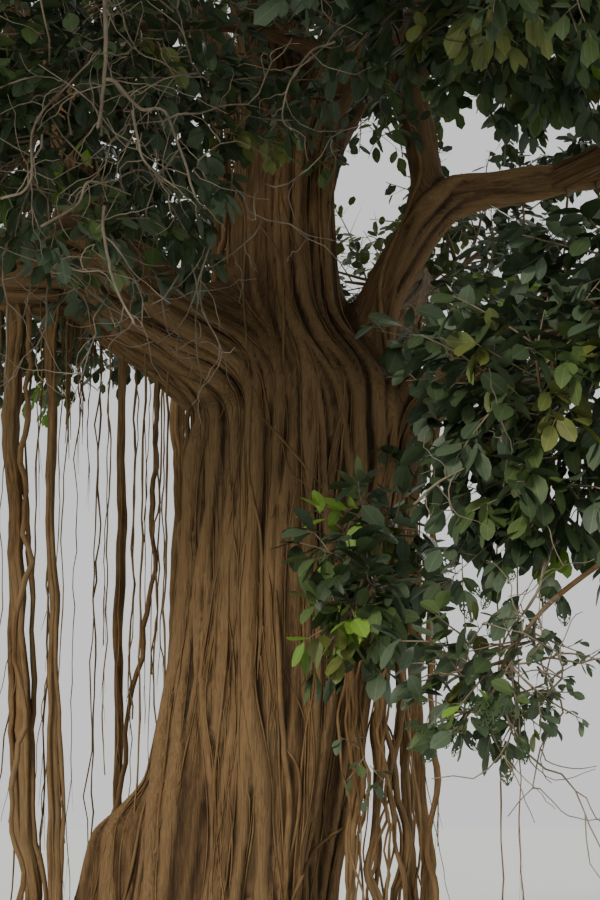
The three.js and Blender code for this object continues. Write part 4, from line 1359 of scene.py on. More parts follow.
def crooked(line, rng, size, waves=ROOT_WAVES):
    """A line bent off its course by a few waves of its own, which swell and fade along it."""
    arc = arc_lengths(line)
    found = line.copy()
    for wave in waves:
        for axis in (0, 1):
            phase, other = rng.uniform(*PHASES, 2)
            swell = 0.55 + 0.45 * np.sin(arc * 2 / wave / rng.uniform(*SWELL_PACES) + other)
            turn = WHOLE_TURN * arc / wave / rng.uniform(*WAVE_PACES) + phase
            found[:, axis] += size * wave**0.8 * swell * np.sin(turn)
    return found


def root_bundle(skin, line, thick, size, rng):
    """A main root and thinner ones that wind round it, grown together for most of the way."""
    share = np.linspace(0, 1, len(line))
    full = mix(*thick, share)
    flare = 1 + ROOT_FLARE[0] * share ** ROOT_FLARE[1]
    winding = next(count for least, count in WINDING_ROOTS if max(thick) > least)
    core = CORE_SHARES[winding > 0]
    main = crooked(line, rng, size)
    lump = swelling(share, *MAIN_SWELLS[0], thick[0] * 500) + swelling(share, *MAIN_SWELLS[1]) - 1
    tube(skin, main, core * full * flare * lump, 8, rng, open_end=True)
    for k in range(winding):
        turn = rng.uniform(*PHASES) + WHOLE_TURN * k / winding
        turn = turn + share * rng.uniform(-WINDING_TWIST, WINDING_TWIST)
        away = full * (core + WINDING_AWAY[0] * np.sin(share * rng.uniform(9, 22) + rng.uniform(*PHASES)))
        away = away * flare**1.5 + WINDING_AWAY[1] * full * rng.random()
        radius = full * rng.uniform(*WINDING_RADII) * core * swelling(share, *WINDING_SWELL, k)
        tube(skin, wound(main, turn, away), radius, 6, rng, open_end=True)


def fray(skin, line, thick, count, rng):
    """Thin roots that part from a prop root low down and hang beside it."""
    for _ in range(count):
        start = line[int(len(line) * rng.uniform(*FRAYED_FROM))]
        drop = min(rng.uniform(*FRAYED_DROPS), start[2])
        out = rng.normal(0, 1, 2) * FRAYED_OUT * thick
        hair = crooked(straight(start, start + [*out, -drop], 14), rng, FRAYED_SWAY, FRAYED_WAVES)
        tube(skin, hair, rng.uniform(*FRAYED_RADII) * np.linspace(1, 0.45, 14), 4)


def foot_rootlets(skin, foot, thick, rng):
    """Short roots that leave a prop root just over the ground and run into it."""
    count = ROOTLETS if thick > WINDING_ROOTS[0][0] else FEWER_ROOTLETS
    share = np.linspace(0, 1, 8)[:, None]
    for k in range(count):
        heading = WHOLE_TURN * (k + rng.uniform(-ROOTLET_SCATTER, ROOTLET_SCATTER)) / count
        height, reach = rng.uniform(*ROOTLET_REACHES, 2) * thick
        out = np.array([math.cos(heading), math.sin(heading), 0])
        line = foot + out * reach * share**1.5 + UP * height * (1 - share) ** 1.2
        tube(skin, line, thick * mix(*ROOTLET_TAPER, share[:, 0]), 6, open_end=True)


def thin_root(skin, top, bottom, thick, rng, size, points=34, frayed=False, waves=THIN_ROOT_WAVES):
    """A crooked thin root, which ends in a few hairs where it is frayed."""
    line = crooked(straight(top, bottom, points), rng, size, waves)
    line += (top - line[0]) * np.linspace(1, 0, points)[:, None]
    share = np.linspace(0, 1, points)
    radius = thick * mix(1.0, 0.7, share) * swelling(share, *THIN_ROOT_SWELL, thick * 3000)
    tube(skin, line, radius, 5, rng)
    for _ in range(HAIRS if frayed else 0):
        start = line[-rng.integers(2, 9)]
        drop = rng.uniform(*HAIR_DROPS)
        end = start + [rng.normal() * HAIR_SPREAD, rng.normal() * HAIR_SPREAD, -drop]
        if end[2] >= HAIR_LOWEST:
            hair = crooked(straight(start, end, 9), rng, HAIR_SWAY, HAIR_WAVES)
            tube(skin, hair, thick * HAIR_THICK * np.linspace(1, 0.4, 9), 3)


def hang_thin_roots(skin, limbs):
    """Thin roots that hang from the boughs, to the ground where they are long enough."""
    rng = draws("thin_roots")
    for name, shares, count, lengths, thickness in THIN_ROOTS:
        limb = limbs[name]
        for k in range(count):
            share = mix(*shares, (k + rng.random()) / count)
            middle, radius = limb.places(share), float(limb.radius(share))
            side = rng.uniform(-THIN_ROOT_SIDE, THIN_ROOT_SIDE) * radius
            across = unit(np.cross(spline_way(limb.points, share), UP))
            top = middle + across * side - UP * THIN_ROOT_UNDER * radius
            bottom = top + across * rng.normal() * THIN_ROOT_LEAN - UP * rng.uniform(*lengths)
            frayed = bottom[2] > FRAYED_ABOVE
            bottom[2] = max(bottom[2], 0.0)
            thick = rng.uniform(*thickness)
            sway = rng.uniform(*THIN_ROOT_SWAYS) + 0.3 * thick
            thin_root(skin, top, bottom, thick, rng, sway, frayed=frayed)


def curtain_strands(skin):
    """The thinner roots of the curtain, which hang clear of the trunk's right side."""
    rng = draws("curtain")
    for k in range(CURTAIN_STRANDS):
        share = (k + rng.uniform(0, 0.9)) / CURTAIN_STRANDS
        top_heading, foot_heading = (mix(*headings, share) for headings in CURTAIN_STRAND_HEADINGS)
        top = trunk_middle(rng.uniform(*CURTAIN_STRAND_TOPS))
        top = top + level_offset(top_heading, CURTAIN_STRAND_TOP_REACH)
        foot = trunk_middle(0) + level_offset(foot_heading, rng.uniform(*CURTAIN_STRAND_FOOT_REACHES))
        thick = rng.choice(CURTAIN_STRAND_RADII, p=CURTAIN_STRAND_SHARES)
        sway = rng.uniform(*CURTAIN_STRAND_SWAYS)
        thin_root(skin, top, foot, thick, rng, sway, 50, waves=CURTAIN_STRAND_WAVES)


# Thin roots that lie on the bark


def laid_on(found, lift):
    """A smoothed line of the places that were found on a surface, lifted along its normals."""
    return smoothed(np.array([np.array(place) + np.array(normal) * lift for place, normal, _, _ in found]))


def lay(skin, line, thick, run, sides, rng=None):
    """A thin root that tapers at both ends, within so many places."""
    k = np.arange(len(line))
    tube(skin, line, thick * np.minimum(1, (np.minimum(k, k[::-1]) + 1) / run), sides, rng)


def lay_fibres(skin, bark, vertices, quads):
    """Thin roots that run up over the bark, a few of them slantwise."""
    rng = draws("fibres")
    tree = BVHTree.FromPolygons(vertices.tolist(), quads.tolist())
    lay_drawn_roots(skin, tree)
    for wander, count in FIBRE_WANDERS:
        headings = rng.uniform(0, WHOLE_TURN, count)
        from_foot = rng.random(count) < FIBRES_FROM_FOOT
        height = np.where(from_foot, FIBRE_FOOT, rng.uniform(*FIBRE_LEVELS, count))
        starts = foot_starts(headings, height)
        lines, alive = climb(bark, starts, np.zeros(count), rng, FIBRE_MOST_STEPS, FIBRE_STEP, wander)
        for line, length in zip(lines, np.minimum(alive, rng.integers(*FIBRE_STEPS, count))):
            if length >= SHORTEST_CLIMB:
                thick = rng.choice(FIBRE_RADII, p=FIBRE_SHARES)
                found = [tree.find_nearest(place) for place in line[: length + 1].tolist()]
                lay(skin, laid_on(found, FIBRE_LIFT * thick), thick, 5, 3, rng)


def picture_way(spot):
    """The way from the camera through a place in the picture, one metre deep."""
    scale = CAMERA_SENSOR / CAMERA_LENS / PICTURE[1]
    right = CAMERA_RIGHT * (spot[0] - PICTURE[0] / 2) * scale
    return CAMERA_AHEAD + right - CAMERA_ABOVE * (spot[1] - PICTURE[1] / 2) * scale


def lay_drawn_roots(skin, tree):
    """The clearest roots on the bark's front, each laid where a line of sight meets the bark."""
    for thick, spots in DRAWN_ROOTS:
        spots = np.array([(x, y, 0) for x, y in spots], float)
        ways = [unit(picture_way(spot)) for spot in spline(spots, np.linspace(0, 1, 8 * len(spots)))]
        found = [tree.ray_cast(CAMERA_PLACE, way.tolist()) for way in ways]
        found = [hit for hit in found if hit[0] is not None]
        lay(skin, laid_on(found, DRAWN_ROOT_LIFT * thick), thick, 6, 6)


# Masses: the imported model's stems, branches and blades


def masses_of(limbs):
    """What each mass grows from: one at the tip of every bough, and the sprig on the trunk."""
    found = [{
        "name": limb.name.replace("bough", "foliage"),
        "middle": np.array(limb.mass[0], float),
        "reach": np.array(limb.mass[1], float),
        "tip": limb.places(1.0),
        "heading": spline_way(limb.points, 1.0),
        "thick": limb.thick[1],
        "branches": TOP_BRANCHES if limb.mass is TOP_MASS else BRANCHES,
    } for limb in limbs.values()]
    root = np.array(SPRIG_ROOT)
    found.append({
        "name": "trunk_sprig",
        "middle": np.array(SPRIG_MASS[0], float),
        "reach": np.array(SPRIG_MASS[1], float),
        "tip": root,
        "heading": unit(np.array(SPRIG_TIP) - root),
        "thick": SPRIG_THICK,
        "branches": BRANCHES,
    })
    return [{**mass, "seed": FIRST_SEED + SEED_STEP * k} for k, mass in enumerate(found)]


def stem_of(mass):
    start = mass["tip"]
    control = start + mass["heading"] * STEM_BOW * np.linalg.norm(start - mass["middle"])
    return start, control, mass["middle"] + (mass["middle"] - start) * STEM_BEYOND


def spiral_direction(k, count, turn):
    z = 1 - 2 * (k + 0.5) / count
    angle = k * GOLDEN_ANGLE + turn
    flat = math.sqrt(1 - z * z)
    return np.array([flat * math.cos(angle), flat * math.sin(angle), z])


def branches_of(mass, stem, draw):
    """The curve and the outward way of each branch of a mass."""
    stem_way = unit(bezier(stem, 1.0) - bezier(stem, 0.0))
    turn = draw() * WHOLE_TURN
    found = []
    for k in range(mass["branches"]):
        outward = spiral_direction(k, mass["branches"], turn)
        leaves = np.clip(BRANCH_LEAVES[0] + BRANCH_LEAVES[1] * outward @ stem_way, *BRANCH_ENDS)
        start = bezier(stem, leaves)
        end = mass["middle"] + outward * mass["reach"] * TARGET_SHARE
        control = (start + end) / 2 + bezier_way(stem, leaves) * BRANCH_BOW * np.linalg.norm(end - start)
        found.append(((start, control, end), outward))
    return found


def blade(root, along, keel, length):
    return {"root": root, "along": along, "keel": keel, "edge": np.cross(along, keel), "length": length}


def side_blade(curve, outward, share, turn, tilt, length):
    along = bezier_way(curve, share)
    across = turned(unit(np.cross(along, UP)), along, turn)
    way = unit(BLADE_WAYS[0] * across + BLADE_WAYS[1] * along + BLADE_WAYS[2] * outward)
    level = unit(np.cross(np.cross(way, across), way))
    return blade(bezier(curve, share), way, turned(level, way, tilt), length)


def longest_blade(mass):
    return BLADE_SHARE * np.cbrt(np.prod(mass["reach"]))


def blades_of(mass, branch, draw):
    """The blade at a branch's tip and those on its sides."""
    curve, outward = branch
    longest = longest_blade(mass)
    steps = np.arange(BRANCH_STEPS + 1) / BRANCH_STEPS
    ways = bezier_way(curve, steps)
    side = np.array([0.0, 1, 0]) if abs(ways[0][0]) > 0.9 else np.array([1.0, 0, 0])
    for way in ways:
        side = unit(side - way * (side @ way))
    found = [blade(bezier(curve, steps)[-1], ways[-1], side, longest * mix(*TIP_LENGTHS, draw()))]
    for k in range(SIDE_BLADES):
        share = mix(*SIDE_SPAN, k / (SIDE_BLADES - 1))
        turn = k * GOLDEN_ANGLE + draw()
        tilt = mix(*BLADE_TILTS, draw())
        found.append(side_blade(curve, outward, share, turn, tilt, longest * mix(*SIDE_LENGTHS, draw())))
    return found


def more_blades(mass, branch, rng, count):
    """The same rule carried on: smaller blades all along a branch."""
    curve, outward = branch
    longest = longest_blade(mass)
    found = []
    for k in range(count):
        share = mix(*MORE_SPAN, (k + rng.random()) / count)
        turn = (k + 0.5) * GOLDEN_ANGLE + rng.uniform(0, MORE_TURN)
        length = longest * rng.uniform(*MORE_LENGTHS)
        found.append(side_blade(curve, outward, share, turn, rng.uniform(*BLADE_TILTS), length))
    return found


def belly(shares):
    """How wide a blade is along it, as a share of its width."""
    return np.where(shares < BELLY_SHARE, shares / BELLY_SHARE, (1 - shares) / (1 - BELLY_SHARE))


def blade_points(item):
    """Places all over a blade, to test its room by."""
    shares = np.array([0.25, 0.4, 0.5, 0.6, 0.8, 1])
    middle = item["root"] + item["along"] * (shares * item["length"])[:, None]
    sides = np.array([-1, -0.33, 0.33, 1]) * (belly(shares) * BLADE_WIDTH / 2 * item["length"])[:, None]
    return (middle[:, None] + sides[..., None] * item["edge"]).reshape(-1, 3)


def second_branches(mass, branch, rng):
    """Finer branches that leave a branch and spread through the rest of the mass."""
    curve, outward = branch
    reaches = SECOND_REACHES[mass["name"] in NEAR_MASSES]
    found = []
    for k in range(SECOND_BRANCHES):
        leaves = mix(*SECOND_SPAN, (k + rng.random()) / SECOND_BRANCHES)
        start = bezier(curve, leaves)
        way = unit(outward + SECOND_SCATTER * unit(rng.normal(size=3)))
        end = mass["middle"] + way * mass["reach"] * rng.uniform(*reaches)
        control = (start + end) / 2 + bezier_way(curve, leaves) * SECOND_BOW * np.linalg.norm(end - start)
        found.append(((start, control, end), way))
    return found


class Spaces:
    """Every mass's own room, and what a mass must keep clear of."""

    def __init__(self, masses, obstacles):
        self.middles = np.array([mass["middle"] for mass in masses])[:, None]
        self.reaches = np.array([mass["reach"] for mass in masses])[:, None]
        self.near = [obstacles.near(mass["middle"], mass["reach"].max() + NEAR_LIMB) for mass in masses]

    def gap(self, own, points):
        return self.near[own].gap(points)

    def has_room(self, own, points):
        if (points < ROOM_LOW).any() or (points > ROOM_HIGH).any():
            return False
        depths = np.sqrt((((points - self.middles) / self.reaches) ** 2).sum(-1))
        if (depths[own] > 1).any() or (depths[own] + SPACE_MARGIN >= np.delete(depths, own, 0)).any():
            return False
        return (self.gap(own, points) > LIMB_CLEARANCE).all()


def fitted(item, own, spaces, shorter):
    """The blade at the first of these shares of its length at which it has room, or None."""
    for share in shorter:
        tried = {**item, "length": item["length"] * share}
        if spaces.has_room(own, blade_points(tried)):
            return tried
    return None


def fitted_of(items, own, spaces, shorter=(1, 0.75, 0.5)):
    return [found for item in items if (found := fitted(item, own, spaces, shorter))]


def grow_mass(own, mass, spaces):
    """The stem, the branches that pass clear of the limbs, and the sprays of one mass."""
    draw = seeded(mass["seed"])
    rng = np.random.default_rng(mass["seed"] + SPRAY_SEED_STEP)
    stem = stem_of(mass)
    branches, fine_branches, sprays, offered = [], [], [], []
    count = MANY_SPRAYS.get(mass["name"], MORE_SPRAYS)
    count = count
    for branch in branches_of(mass, stem, draw):
        sprays += fitted_of(blades_of(mass, branch, draw), own, spaces, (1, 0.75))
        line = bezier(branch[0], np.arange(1, 13) / 12)
        if (spaces.gap(own, line) < 0.4 * mass["thick"] + LIMB_CLEARANCE).any():
            continue
        branches.append(branch[0])
        grown = [branch]
        for finer_branch in second_branches(mass, branch, rng):
            if (spaces.gap(own, bezier(finer_branch[0], np.arange(1, 9) / 8)) > LIMB_CLEARANCE).all():
                fine_branches.append(finer_branch[0])
                grown.append(finer_branch)
        for bearer in grown:
            more = more_blades(mass, bearer, rng, max(2, round(OFFERED * count / len(grown))))
            offered += fitted_of(more, own, spaces)
    on_stem = more_blades(mass, (stem, bezier_way(stem, 1.0)), rng, min(count, STEM_SPRAYS))
    sprays = outside_gaps(sprays + fitted_of(on_stem, own, spaces), rng)
    offered = outside_gaps(offered, rng)
    return stem, branches, fine_branches, sprays + spread_out(sprays, offered, count * len(branches))


def middle_of(item):
    return item["root"] + SPRAY_MIDDLE * item["length"] * item["along"]


def outside_gaps(items, rng):
    keep = kept_in_gaps(np.array([middle_of(item) for item in items]).reshape(-1, 3), rng)
    return [item for item, stays in zip(items, keep) if stays]


def spread_out(taken, offered, count):
    """Of the sprays on offer, those that one after another lie farthest from all that are taken."""
    places = np.array([middle_of(item) for item in offered]).reshape(-1, 3)
    gap = np.full(len(offered), 100.0)
    for item in taken:
        gap = np.minimum(gap, np.linalg.norm(places - middle_of(item), axis=1))
    found = []
    for _ in range(min(count, len(offered))):
        k = int(gap.argmax())
        found.append(offered[k])
        gap = np.minimum(gap, np.linalg.norm(places - places[k], axis=1))
    return found


# Twigs and leaves in the room of each blade


def in_picture(points):
    """Where a point falls in the picture."""
    way = points - np.array(CAMERA_PLACE)
    scale = CAMERA_LENS / CAMERA_SENSOR * PICTURE[1] / np.maximum(way @ CAMERA_AHEAD, 0.1)
    return np.stack([PICTURE[0] / 2 + scale * way[..., 0], PICTURE[1] / 2 - scale * (way @ CAMERA_ABOVE)], -1)


def kept_in_gaps(places, rng):
    """Which places stay, by a seeded chance inside the gaps of the crown."""
    spots = in_picture(places)
    keep = np.ones(len(places), bool)
    for middle, reach, share in SKY_GAPS:
        inside = (((spots - middle) / reach) ** 2).sum(-1) < rng.uniform(0.75, 1.2, len(places))
        keep &= ~inside | (rng.random(len(places)) < share)
    return keep


def spray_twigs(item, rng):
    """The main twig's line and its side twigs' lines."""
    length, along, edge, keel = item["length"], item["along"], item["edge"], item["keel"]
    share = np.linspace(0, 1, SPRAY_PLACES)
    bend = rng.normal(0, SPRAY_BEND, 2) * length
    main = item["root"] + along * (share * length)[:, None]
    main = main + (edge * bend[0] + keel * bend[1]) * np.sin(share * 3.1)[:, None]
    main = main - UP * (SPRAY_DROOP * length * share**2)[:, None]
    count = max(2, round(0.9 * length / SIDE_TWIG_STEP))
    at = SIDE_TWIG_SPAN[0] + SIDE_TWIG_SPAN[1] * (np.arange(count) + rng.uniform(0.2, 0.8, count)) / count
    reach = (0.3 + 0.7 * belly(at)) * BLADE_WIDTH / 2 * length / math.sin(SIDE_TWIG_ANGLE)
    reach = reach * rng.uniform(*SIDE_TWIG_LENGTHS, count)
    side = np.where(np.arange(count) % 2, 1.0, -1.0)[:, None]
    way = along * math.cos(SIDE_TWIG_ANGLE) + edge * side * math.sin(SIDE_TWIG_ANGLE)
    up_and_down, all_ways = SIDE_TWIG_SCATTER
    way = unit(way + keel * rng.normal(0, up_and_down, (count, 1)) + rng.normal(0, all_ways, (count, 3)))
    start = np.stack([np.interp(at, share, main[:, axis]) for axis in range(3)], -1)
    end = start + unit(way - UP * rng.uniform(*SIDE_TWIG_DROOP, (count, 1))) * reach[:, None]
    return main, np.stack([start, end], 1)


def twig_leaves(lines, rng):
    """Base, way and face of every leaf on these twigs."""
    reach = np.linalg.norm(lines[:, 1] - lines[:, 0], axis=1)
    count = np.maximum(2, np.round(reach / LEAF_STEP)).astype(int)
    twig = np.repeat(np.arange(len(lines)), count)
    number = np.concatenate([np.arange(c) for c in count])
    share = np.minimum(0.12 + 0.88 * (number + rng.uniform(0.3, 1, len(twig))) / count[twig], 1)
    base = mix(lines[twig, 0], lines[twig, 1], share[:, None])
    way = unit(lines[twig, 1] - lines[twig, 0])
    side = unit(np.cross(way, UP) + NUDGE)
    angle = number * GOLDEN_ANGLE + rng.uniform(-0.5, 0.5, len(twig)) + twig
    spread = rng.uniform(*LEAF_SPREADS, (len(twig), 1))
    spread = np.where((number == count[twig] - 1)[:, None], 0.25 * spread, spread)
    out = side * np.cos(angle)[:, None] + np.cross(side, way) * 0.6 * np.sin(angle)[:, None]
    leaf_way = unit(0.65 * way + spread * out - UP * rng.uniform(*LEAF_DROOPS, (len(twig), 1)))
    face = UP + 0.5 * out + rng.normal(0, LEAF_TILT, (len(twig), 3))
    return base, leaf_way, unit(face - leaf_way * (face * leaf_way).sum(1)[:, None])


def outline_places(outline):
    """Places along and across of a leaf's vertices: base, pairs of sides, tip and middle."""
    u = np.array([0, *np.repeat(outline[:, 0], 2), 1, 0.5])
    v = np.array([0, *(outline[:, 1:] * [-1, 1]).ravel(), 0, 0])
    return u, v


def outline_faces(outline):
    middle, tip = 2 * len(outline) + 2, 2 * len(outline) + 1
    left, right = [0, *range(1, tip, 2), tip], [0, *range(2, tip, 2), tip]
    on_left = [(a, middle, b) for a, b in zip(left, left[1:])]
    return np.array(on_left + [(a, b, middle) for a, b in zip(right, right[1:])])


def leaf_mesh(outline, base, way, face, size, rng):
    """Vertices of leaves folded a little along the middle and curled down at the tip."""
    m = len(base)
    fold = rng.uniform(*LEAF_FOLDS, m) * rng.choice(LEAF_FOLD_SIDES, m)
    curl = rng.uniform(*LEAF_CURLS, m)
    u, v = outline_places(outline)
    across = v * rng.uniform(*LEAF_WIDTHS, m)[:, None]
    lift = np.abs(across) * fold[:, None] - curl[:, None] * u**2
    side = np.cross(way, face)[:, None]
    local = way[:, None] * u[:, None] + side * across[..., None] + face[:, None] * lift[..., None]
    return base[:, None] + local * size[:, None, None]


def gather_leaves(skin, outline, vertices):
    """Adds leaves, whose grain is the place along, the place across, and a number of each leaf's own."""
    m, n = vertices.shape[:2]
    own = np.random.default_rng(m).random((m, 1))
    grain = np.stack(np.broadcast_arrays(*outline_places(outline), own), -1)
    skin.add(vertices.reshape(-1, 3), [repeated(outline_faces(outline), m, n)], grain.reshape(-1, 3))


def eaten_leaf(skin, base, way, face, size, rng):
    """A leaf of small faces, eaten to a net of veins towards its tip."""
    rows, columns = EATEN_ROWS, EATEN_COLUMNS
    u = np.linspace(0, 1, rows + 1)
    ends = np.array([[0, 0.01], *NEAR_OUTLINE, [1, 0.03]])
    across = np.interp(u, ends[:, 0], ends[:, 1])[:, None] * np.linspace(-1, 1, columns + 1)
    lift = 0.2 * np.abs(across) - 0.14 * (u**2)[:, None] + 0.015 * np.sin(9 * u)[:, None]
    local = way * u[:, None, None] + np.cross(way, face) * across[..., None] + face * lift[..., None]
    i, j = np.meshgrid(np.arange(rows), np.arange(columns), indexing="ij")
    corner = i * (columns + 1) + j
    quads = np.stack([corner, corner + 1, corner + columns + 2, corner + columns + 1], -1).reshape(-1, 4)
    from_rib = np.abs(j - (columns - 1) / 2) - 0.5
    vein = (i + np.floor(from_rib * 0.8)) % 4 == 0
    solid = (from_rib < 1) | (from_rib > columns / 2 - 1.1) | vein | (i > rows - 2)
    eaten = rng.random((rows, columns)) < EATEN_FACES
    eaten &= i / rows + 0.07 * rng.normal(size=(rows, columns)) > rng.uniform(*EATEN_FROM)
    grain = np.stack(np.broadcast_arrays(u[:, None], across, rng.random()), -1).reshape(-1, 3)
    skin.add((base + local * size).reshape(-1, 3), [quads[(solid | ~eaten).ravel()]], grain)


def sprays_on(limb, count, shares, rng):
    """Short sprays round a bough, most of them hanging."""
    found = []
    for k in range(count):
        share = mix(*shares, (k + rng.random()) / count)
        way = spline_way(limb.points, share)
        out = unit(np.cross(way, unit(rng.normal(size=3))))
        root = limb.places(share) + out * float(limb.radius(share)) * 0.8
        along = unit(0.8 * out + 0.5 * way - 0.6 * UP)
        keel = turned(unit(np.cross(along, SPRAY_TILT)), along, rng.uniform(0, 3))
        found.append(blade(root, along, keel, rng.uniform(*LIMB_SPRAY_LENGTHS)))
    return found


def loose_sprays(limbs, rng):
    """Each spray outside the masses, with its length of leaf."""
    found = []
    for name, count, shares in LIMB_SPRAYS:
        sprays = sprays_on(limbs[name], count, shares, rng)
        found += [(item, LIMB_SPRAY_LEAF * LEAF_LENGTH) for item in sprays]
    for root, way, length, leaf_length in LOOSE_SPRAYS:
        along = unit(np.array(way))
        keel = unit(np.cross(along, SPRAY_TILT))
        found.append((blade(np.array(root), along, keel, length), leaf_length))
    return found


def shares_of(mass, item):
    """How the kinds of leaf are shared out in this part of the crown."""
    if mass["name"] == "trunk_sprig" and middle_of(item)[0] < YOUNG_LEFT_OF:
        return YOUNG_SHARES
    return NEAR_SHARES if mass["name"] in NEAR_MASSES else KIND_SHARES


class Crown:
    """Everything that grows on from the boughs."""

    def __init__(self, masses, spaces, limbs):
        self.wood, self.twigs, self.eaten = Skin(), Skin(), Skin()
        self.leaves = {(kind, near): [] for kind in KINDS for near in (True, False)}
        self.mains, self.sides, self.thick = [], [], []
        for own, mass in enumerate(masses):
            stem, branches, fine_branches, sprays = grow_mass(own, mass, spaces)
            self.grow_wood(mass, stem, branches, fine_branches)
            rng = draws("sprays", own)
            for item in sprays:
                self.grow_spray(own, mass, item, spaces, rng)
        self.grow_loose(limbs, draws("loose_sprays"))
        tubes(self.twigs, np.array(self.mains), np.array(self.thick)[:, None] * MAIN_TWIG_TAPER, 4)
        spikes(self.twigs, np.concatenate(self.sides), SIDE_TWIG_THICK)

    def grow_wood(self, mass, stem, branches, fine_branches):
        grown = [([stem], 15, STEM_WOOD), (branches, 15, BRANCH_WOOD), (fine_branches, 8, FINE_WOOD)]
        for curves, places, (taper, added, sides) in grown:
            share = np.linspace(0, 1, places)
            for curve in curves:
                tube(self.wood, bezier(curve, share), mass["thick"] * mix(*taper, share) + added, sides)

    def grow_twigs(self, item, thick, rng):
        main, side = spray_twigs(item, rng)
        self.mains.append(main)
        self.sides.append(side)
        self.thick.append(thick)
        return main, side

    def grow_spray(self, own, mass, item, spaces, rng):
        """One spray of a mass, without the leaves that would touch a limb, the ground or a gap."""
        main, side = self.grow_twigs(item, MAIN_TWIG_THICK[0] + MAIN_TWIG_THICK[1] * item["length"], rng)
        kind = KINDS[rng.choice(len(KINDS), p=shares_of(mass, item))]
        base, way, face = twig_leaves(np.concatenate([side, main[None, 3:]]), rng)
        size = LEAF_LENGTH * LARGE_LEAVED.get(mass["name"], 1) * rng.uniform(*LEAF_SIZES, len(base))
        middle = base + way * (LEAF_MIDDLE * size)[:, None]
        keep = (spaces.gap(own, middle) > LEAF_CLEARANCE) & (middle[:, 2] > LOWEST_LEAF)
        keep &= kept_in_gaps(middle, rng)
        leaves = base[keep], way[keep], face[keep], size[keep]
        if mass["name"] == "right_hanging_foliage":
            leaves = self.eaten_low(mass, *leaves, rng)
        near = mass["name"] in NEAR_MASSES
        self.leaves[kind, near].append(leaf_mesh(NEAR_OUTLINE if near else FAR_OUTLINE, *leaves, rng))

    def eaten_low(self, mass, base, way, face, size, rng):
        """Small leaves on the low spray's outer twigs, and eaten ones on the underside of the rest."""
        start, width = LOW_SPRAY_OUTER
        outer = np.clip((base[:, 0] - start) / width, 0, 1)
        chance = EATEN_SHARE * ((base[:, 2] < mass["middle"][2]) & (outer < LOW_SPRAY_EATEN))
        return self.eat(base, way, face, size * mix(*LOW_SPRAY_SIZES, outer), chance, rng)

    def eat(self, base, way, face, size, chance, rng):
        """Lays eaten leaves for some of these, and gives back the rest."""
        eaten = rng.random(len(base)) < chance
        for k in np.nonzero(eaten)[0]:
            front = unit(face[k] - EATEN_TURN * np.array([0, 1, 0]))
            front = unit(front - way[k] * (front @ way[k]))
            eaten_leaf(self.eaten, base[k], way[k], front, size[k], rng)
        return base[~eaten], way[~eaten], face[~eaten], size[~eaten]

    def grow_loose(self, limbs, rng):
        loose = loose_sprays(limbs, rng)
        for number, (item, leaf_length) in enumerate(loose):
            _, side = self.grow_twigs(item, LOOSE_TWIG_THICK, rng)
            leaves = twig_leaves(side, rng)
            leaves = *leaves, leaf_length * rng.uniform(*LOOSE_LEAF_SIZES, len(leaves[0]))
            if number >= len(loose) - EATEN_LOOSE:
                leaves = self.eat(*leaves, EATEN_SHARE, rng)
            kind = KINDS[rng.choice(len(KINDS), p=LOOSE_SHARES)]
            self.leaves[kind, True].append(leaf_mesh(NEAR_OUTLINE, *leaves, rng))


# Bare twigs


def crooked_twig(start, way, length, rng):
    places = [start]
    for _ in range(TWIG_STEPS):
        way = unit(way + rng.normal(0, TWIG_BEND, 3))
        places.append(places[-1] + way * length / TWIG_STEPS)
    return np.array(places)


def add_fork(skin, start, way, length, rng):
    """A short crooked twig, four-sided, that tapers to half its thickness."""
    line = crooked_twig(start, way, length, rng)
    tube(skin, line, FORK_THICK * np.linspace(1, 0.5, len(line)), 4)


def bare_twigs(skin):
    """Crooked twigs with no leaves, each forked three times."""
    rng = draws("bare_twigs")
    for place, scatter, count, mostly in BARE_TWIGS:
        for _ in range(count):
            start = np.array(place) + rng.uniform(-1, 1, 3) * scatter
            way = unit(np.array(mostly) + rng.normal(0, TWIG_SCATTER, 3))
            length = rng.uniform(*TWIG_LENGTHS)
            line = crooked_twig(start, way, length, rng)
            tube(skin, line, TWIG_THICK * np.linspace(1, 0.4, len(line)), 5)
            for at in rng.choice(FORK_PLACES, FORKS, replace=False):
                fork = unit(way + rng.normal(0, FORK_SCATTER, 3))
                add_fork(skin, line[at], fork, length * rng.uniform(*FORK_LENGTHS), rng)


def drawn_twigs(skin):
    """Bare boughlets where the picture has them, with a short twig at every third place."""
    rng = draws("drawn_twigs")
    for depth, thick, spots in DRAWN_TWIGS:
        places = np.array([np.array(CAMERA_PLACE) + depth * picture_way(spot) for spot in spots])
        places += rng.normal(0, 0.05, places.shape) * [0, 1, 0]
        line = crooked(spline(places, np.linspace(0, 1, 5 * len(spots))), rng, 0.012, (0.3, 0.14))
        tube(skin, line, thick * np.linspace(1, 0.6, len(line)), 6)
        for at in range(3, len(line) - 1, 3):
            way = unit(line[at + 1] - line[at] + 0.12 * rng.normal(size=3))
            add_fork(skin, line[at], way, rng.uniform(0.2, 0.6), rng)


# Materials


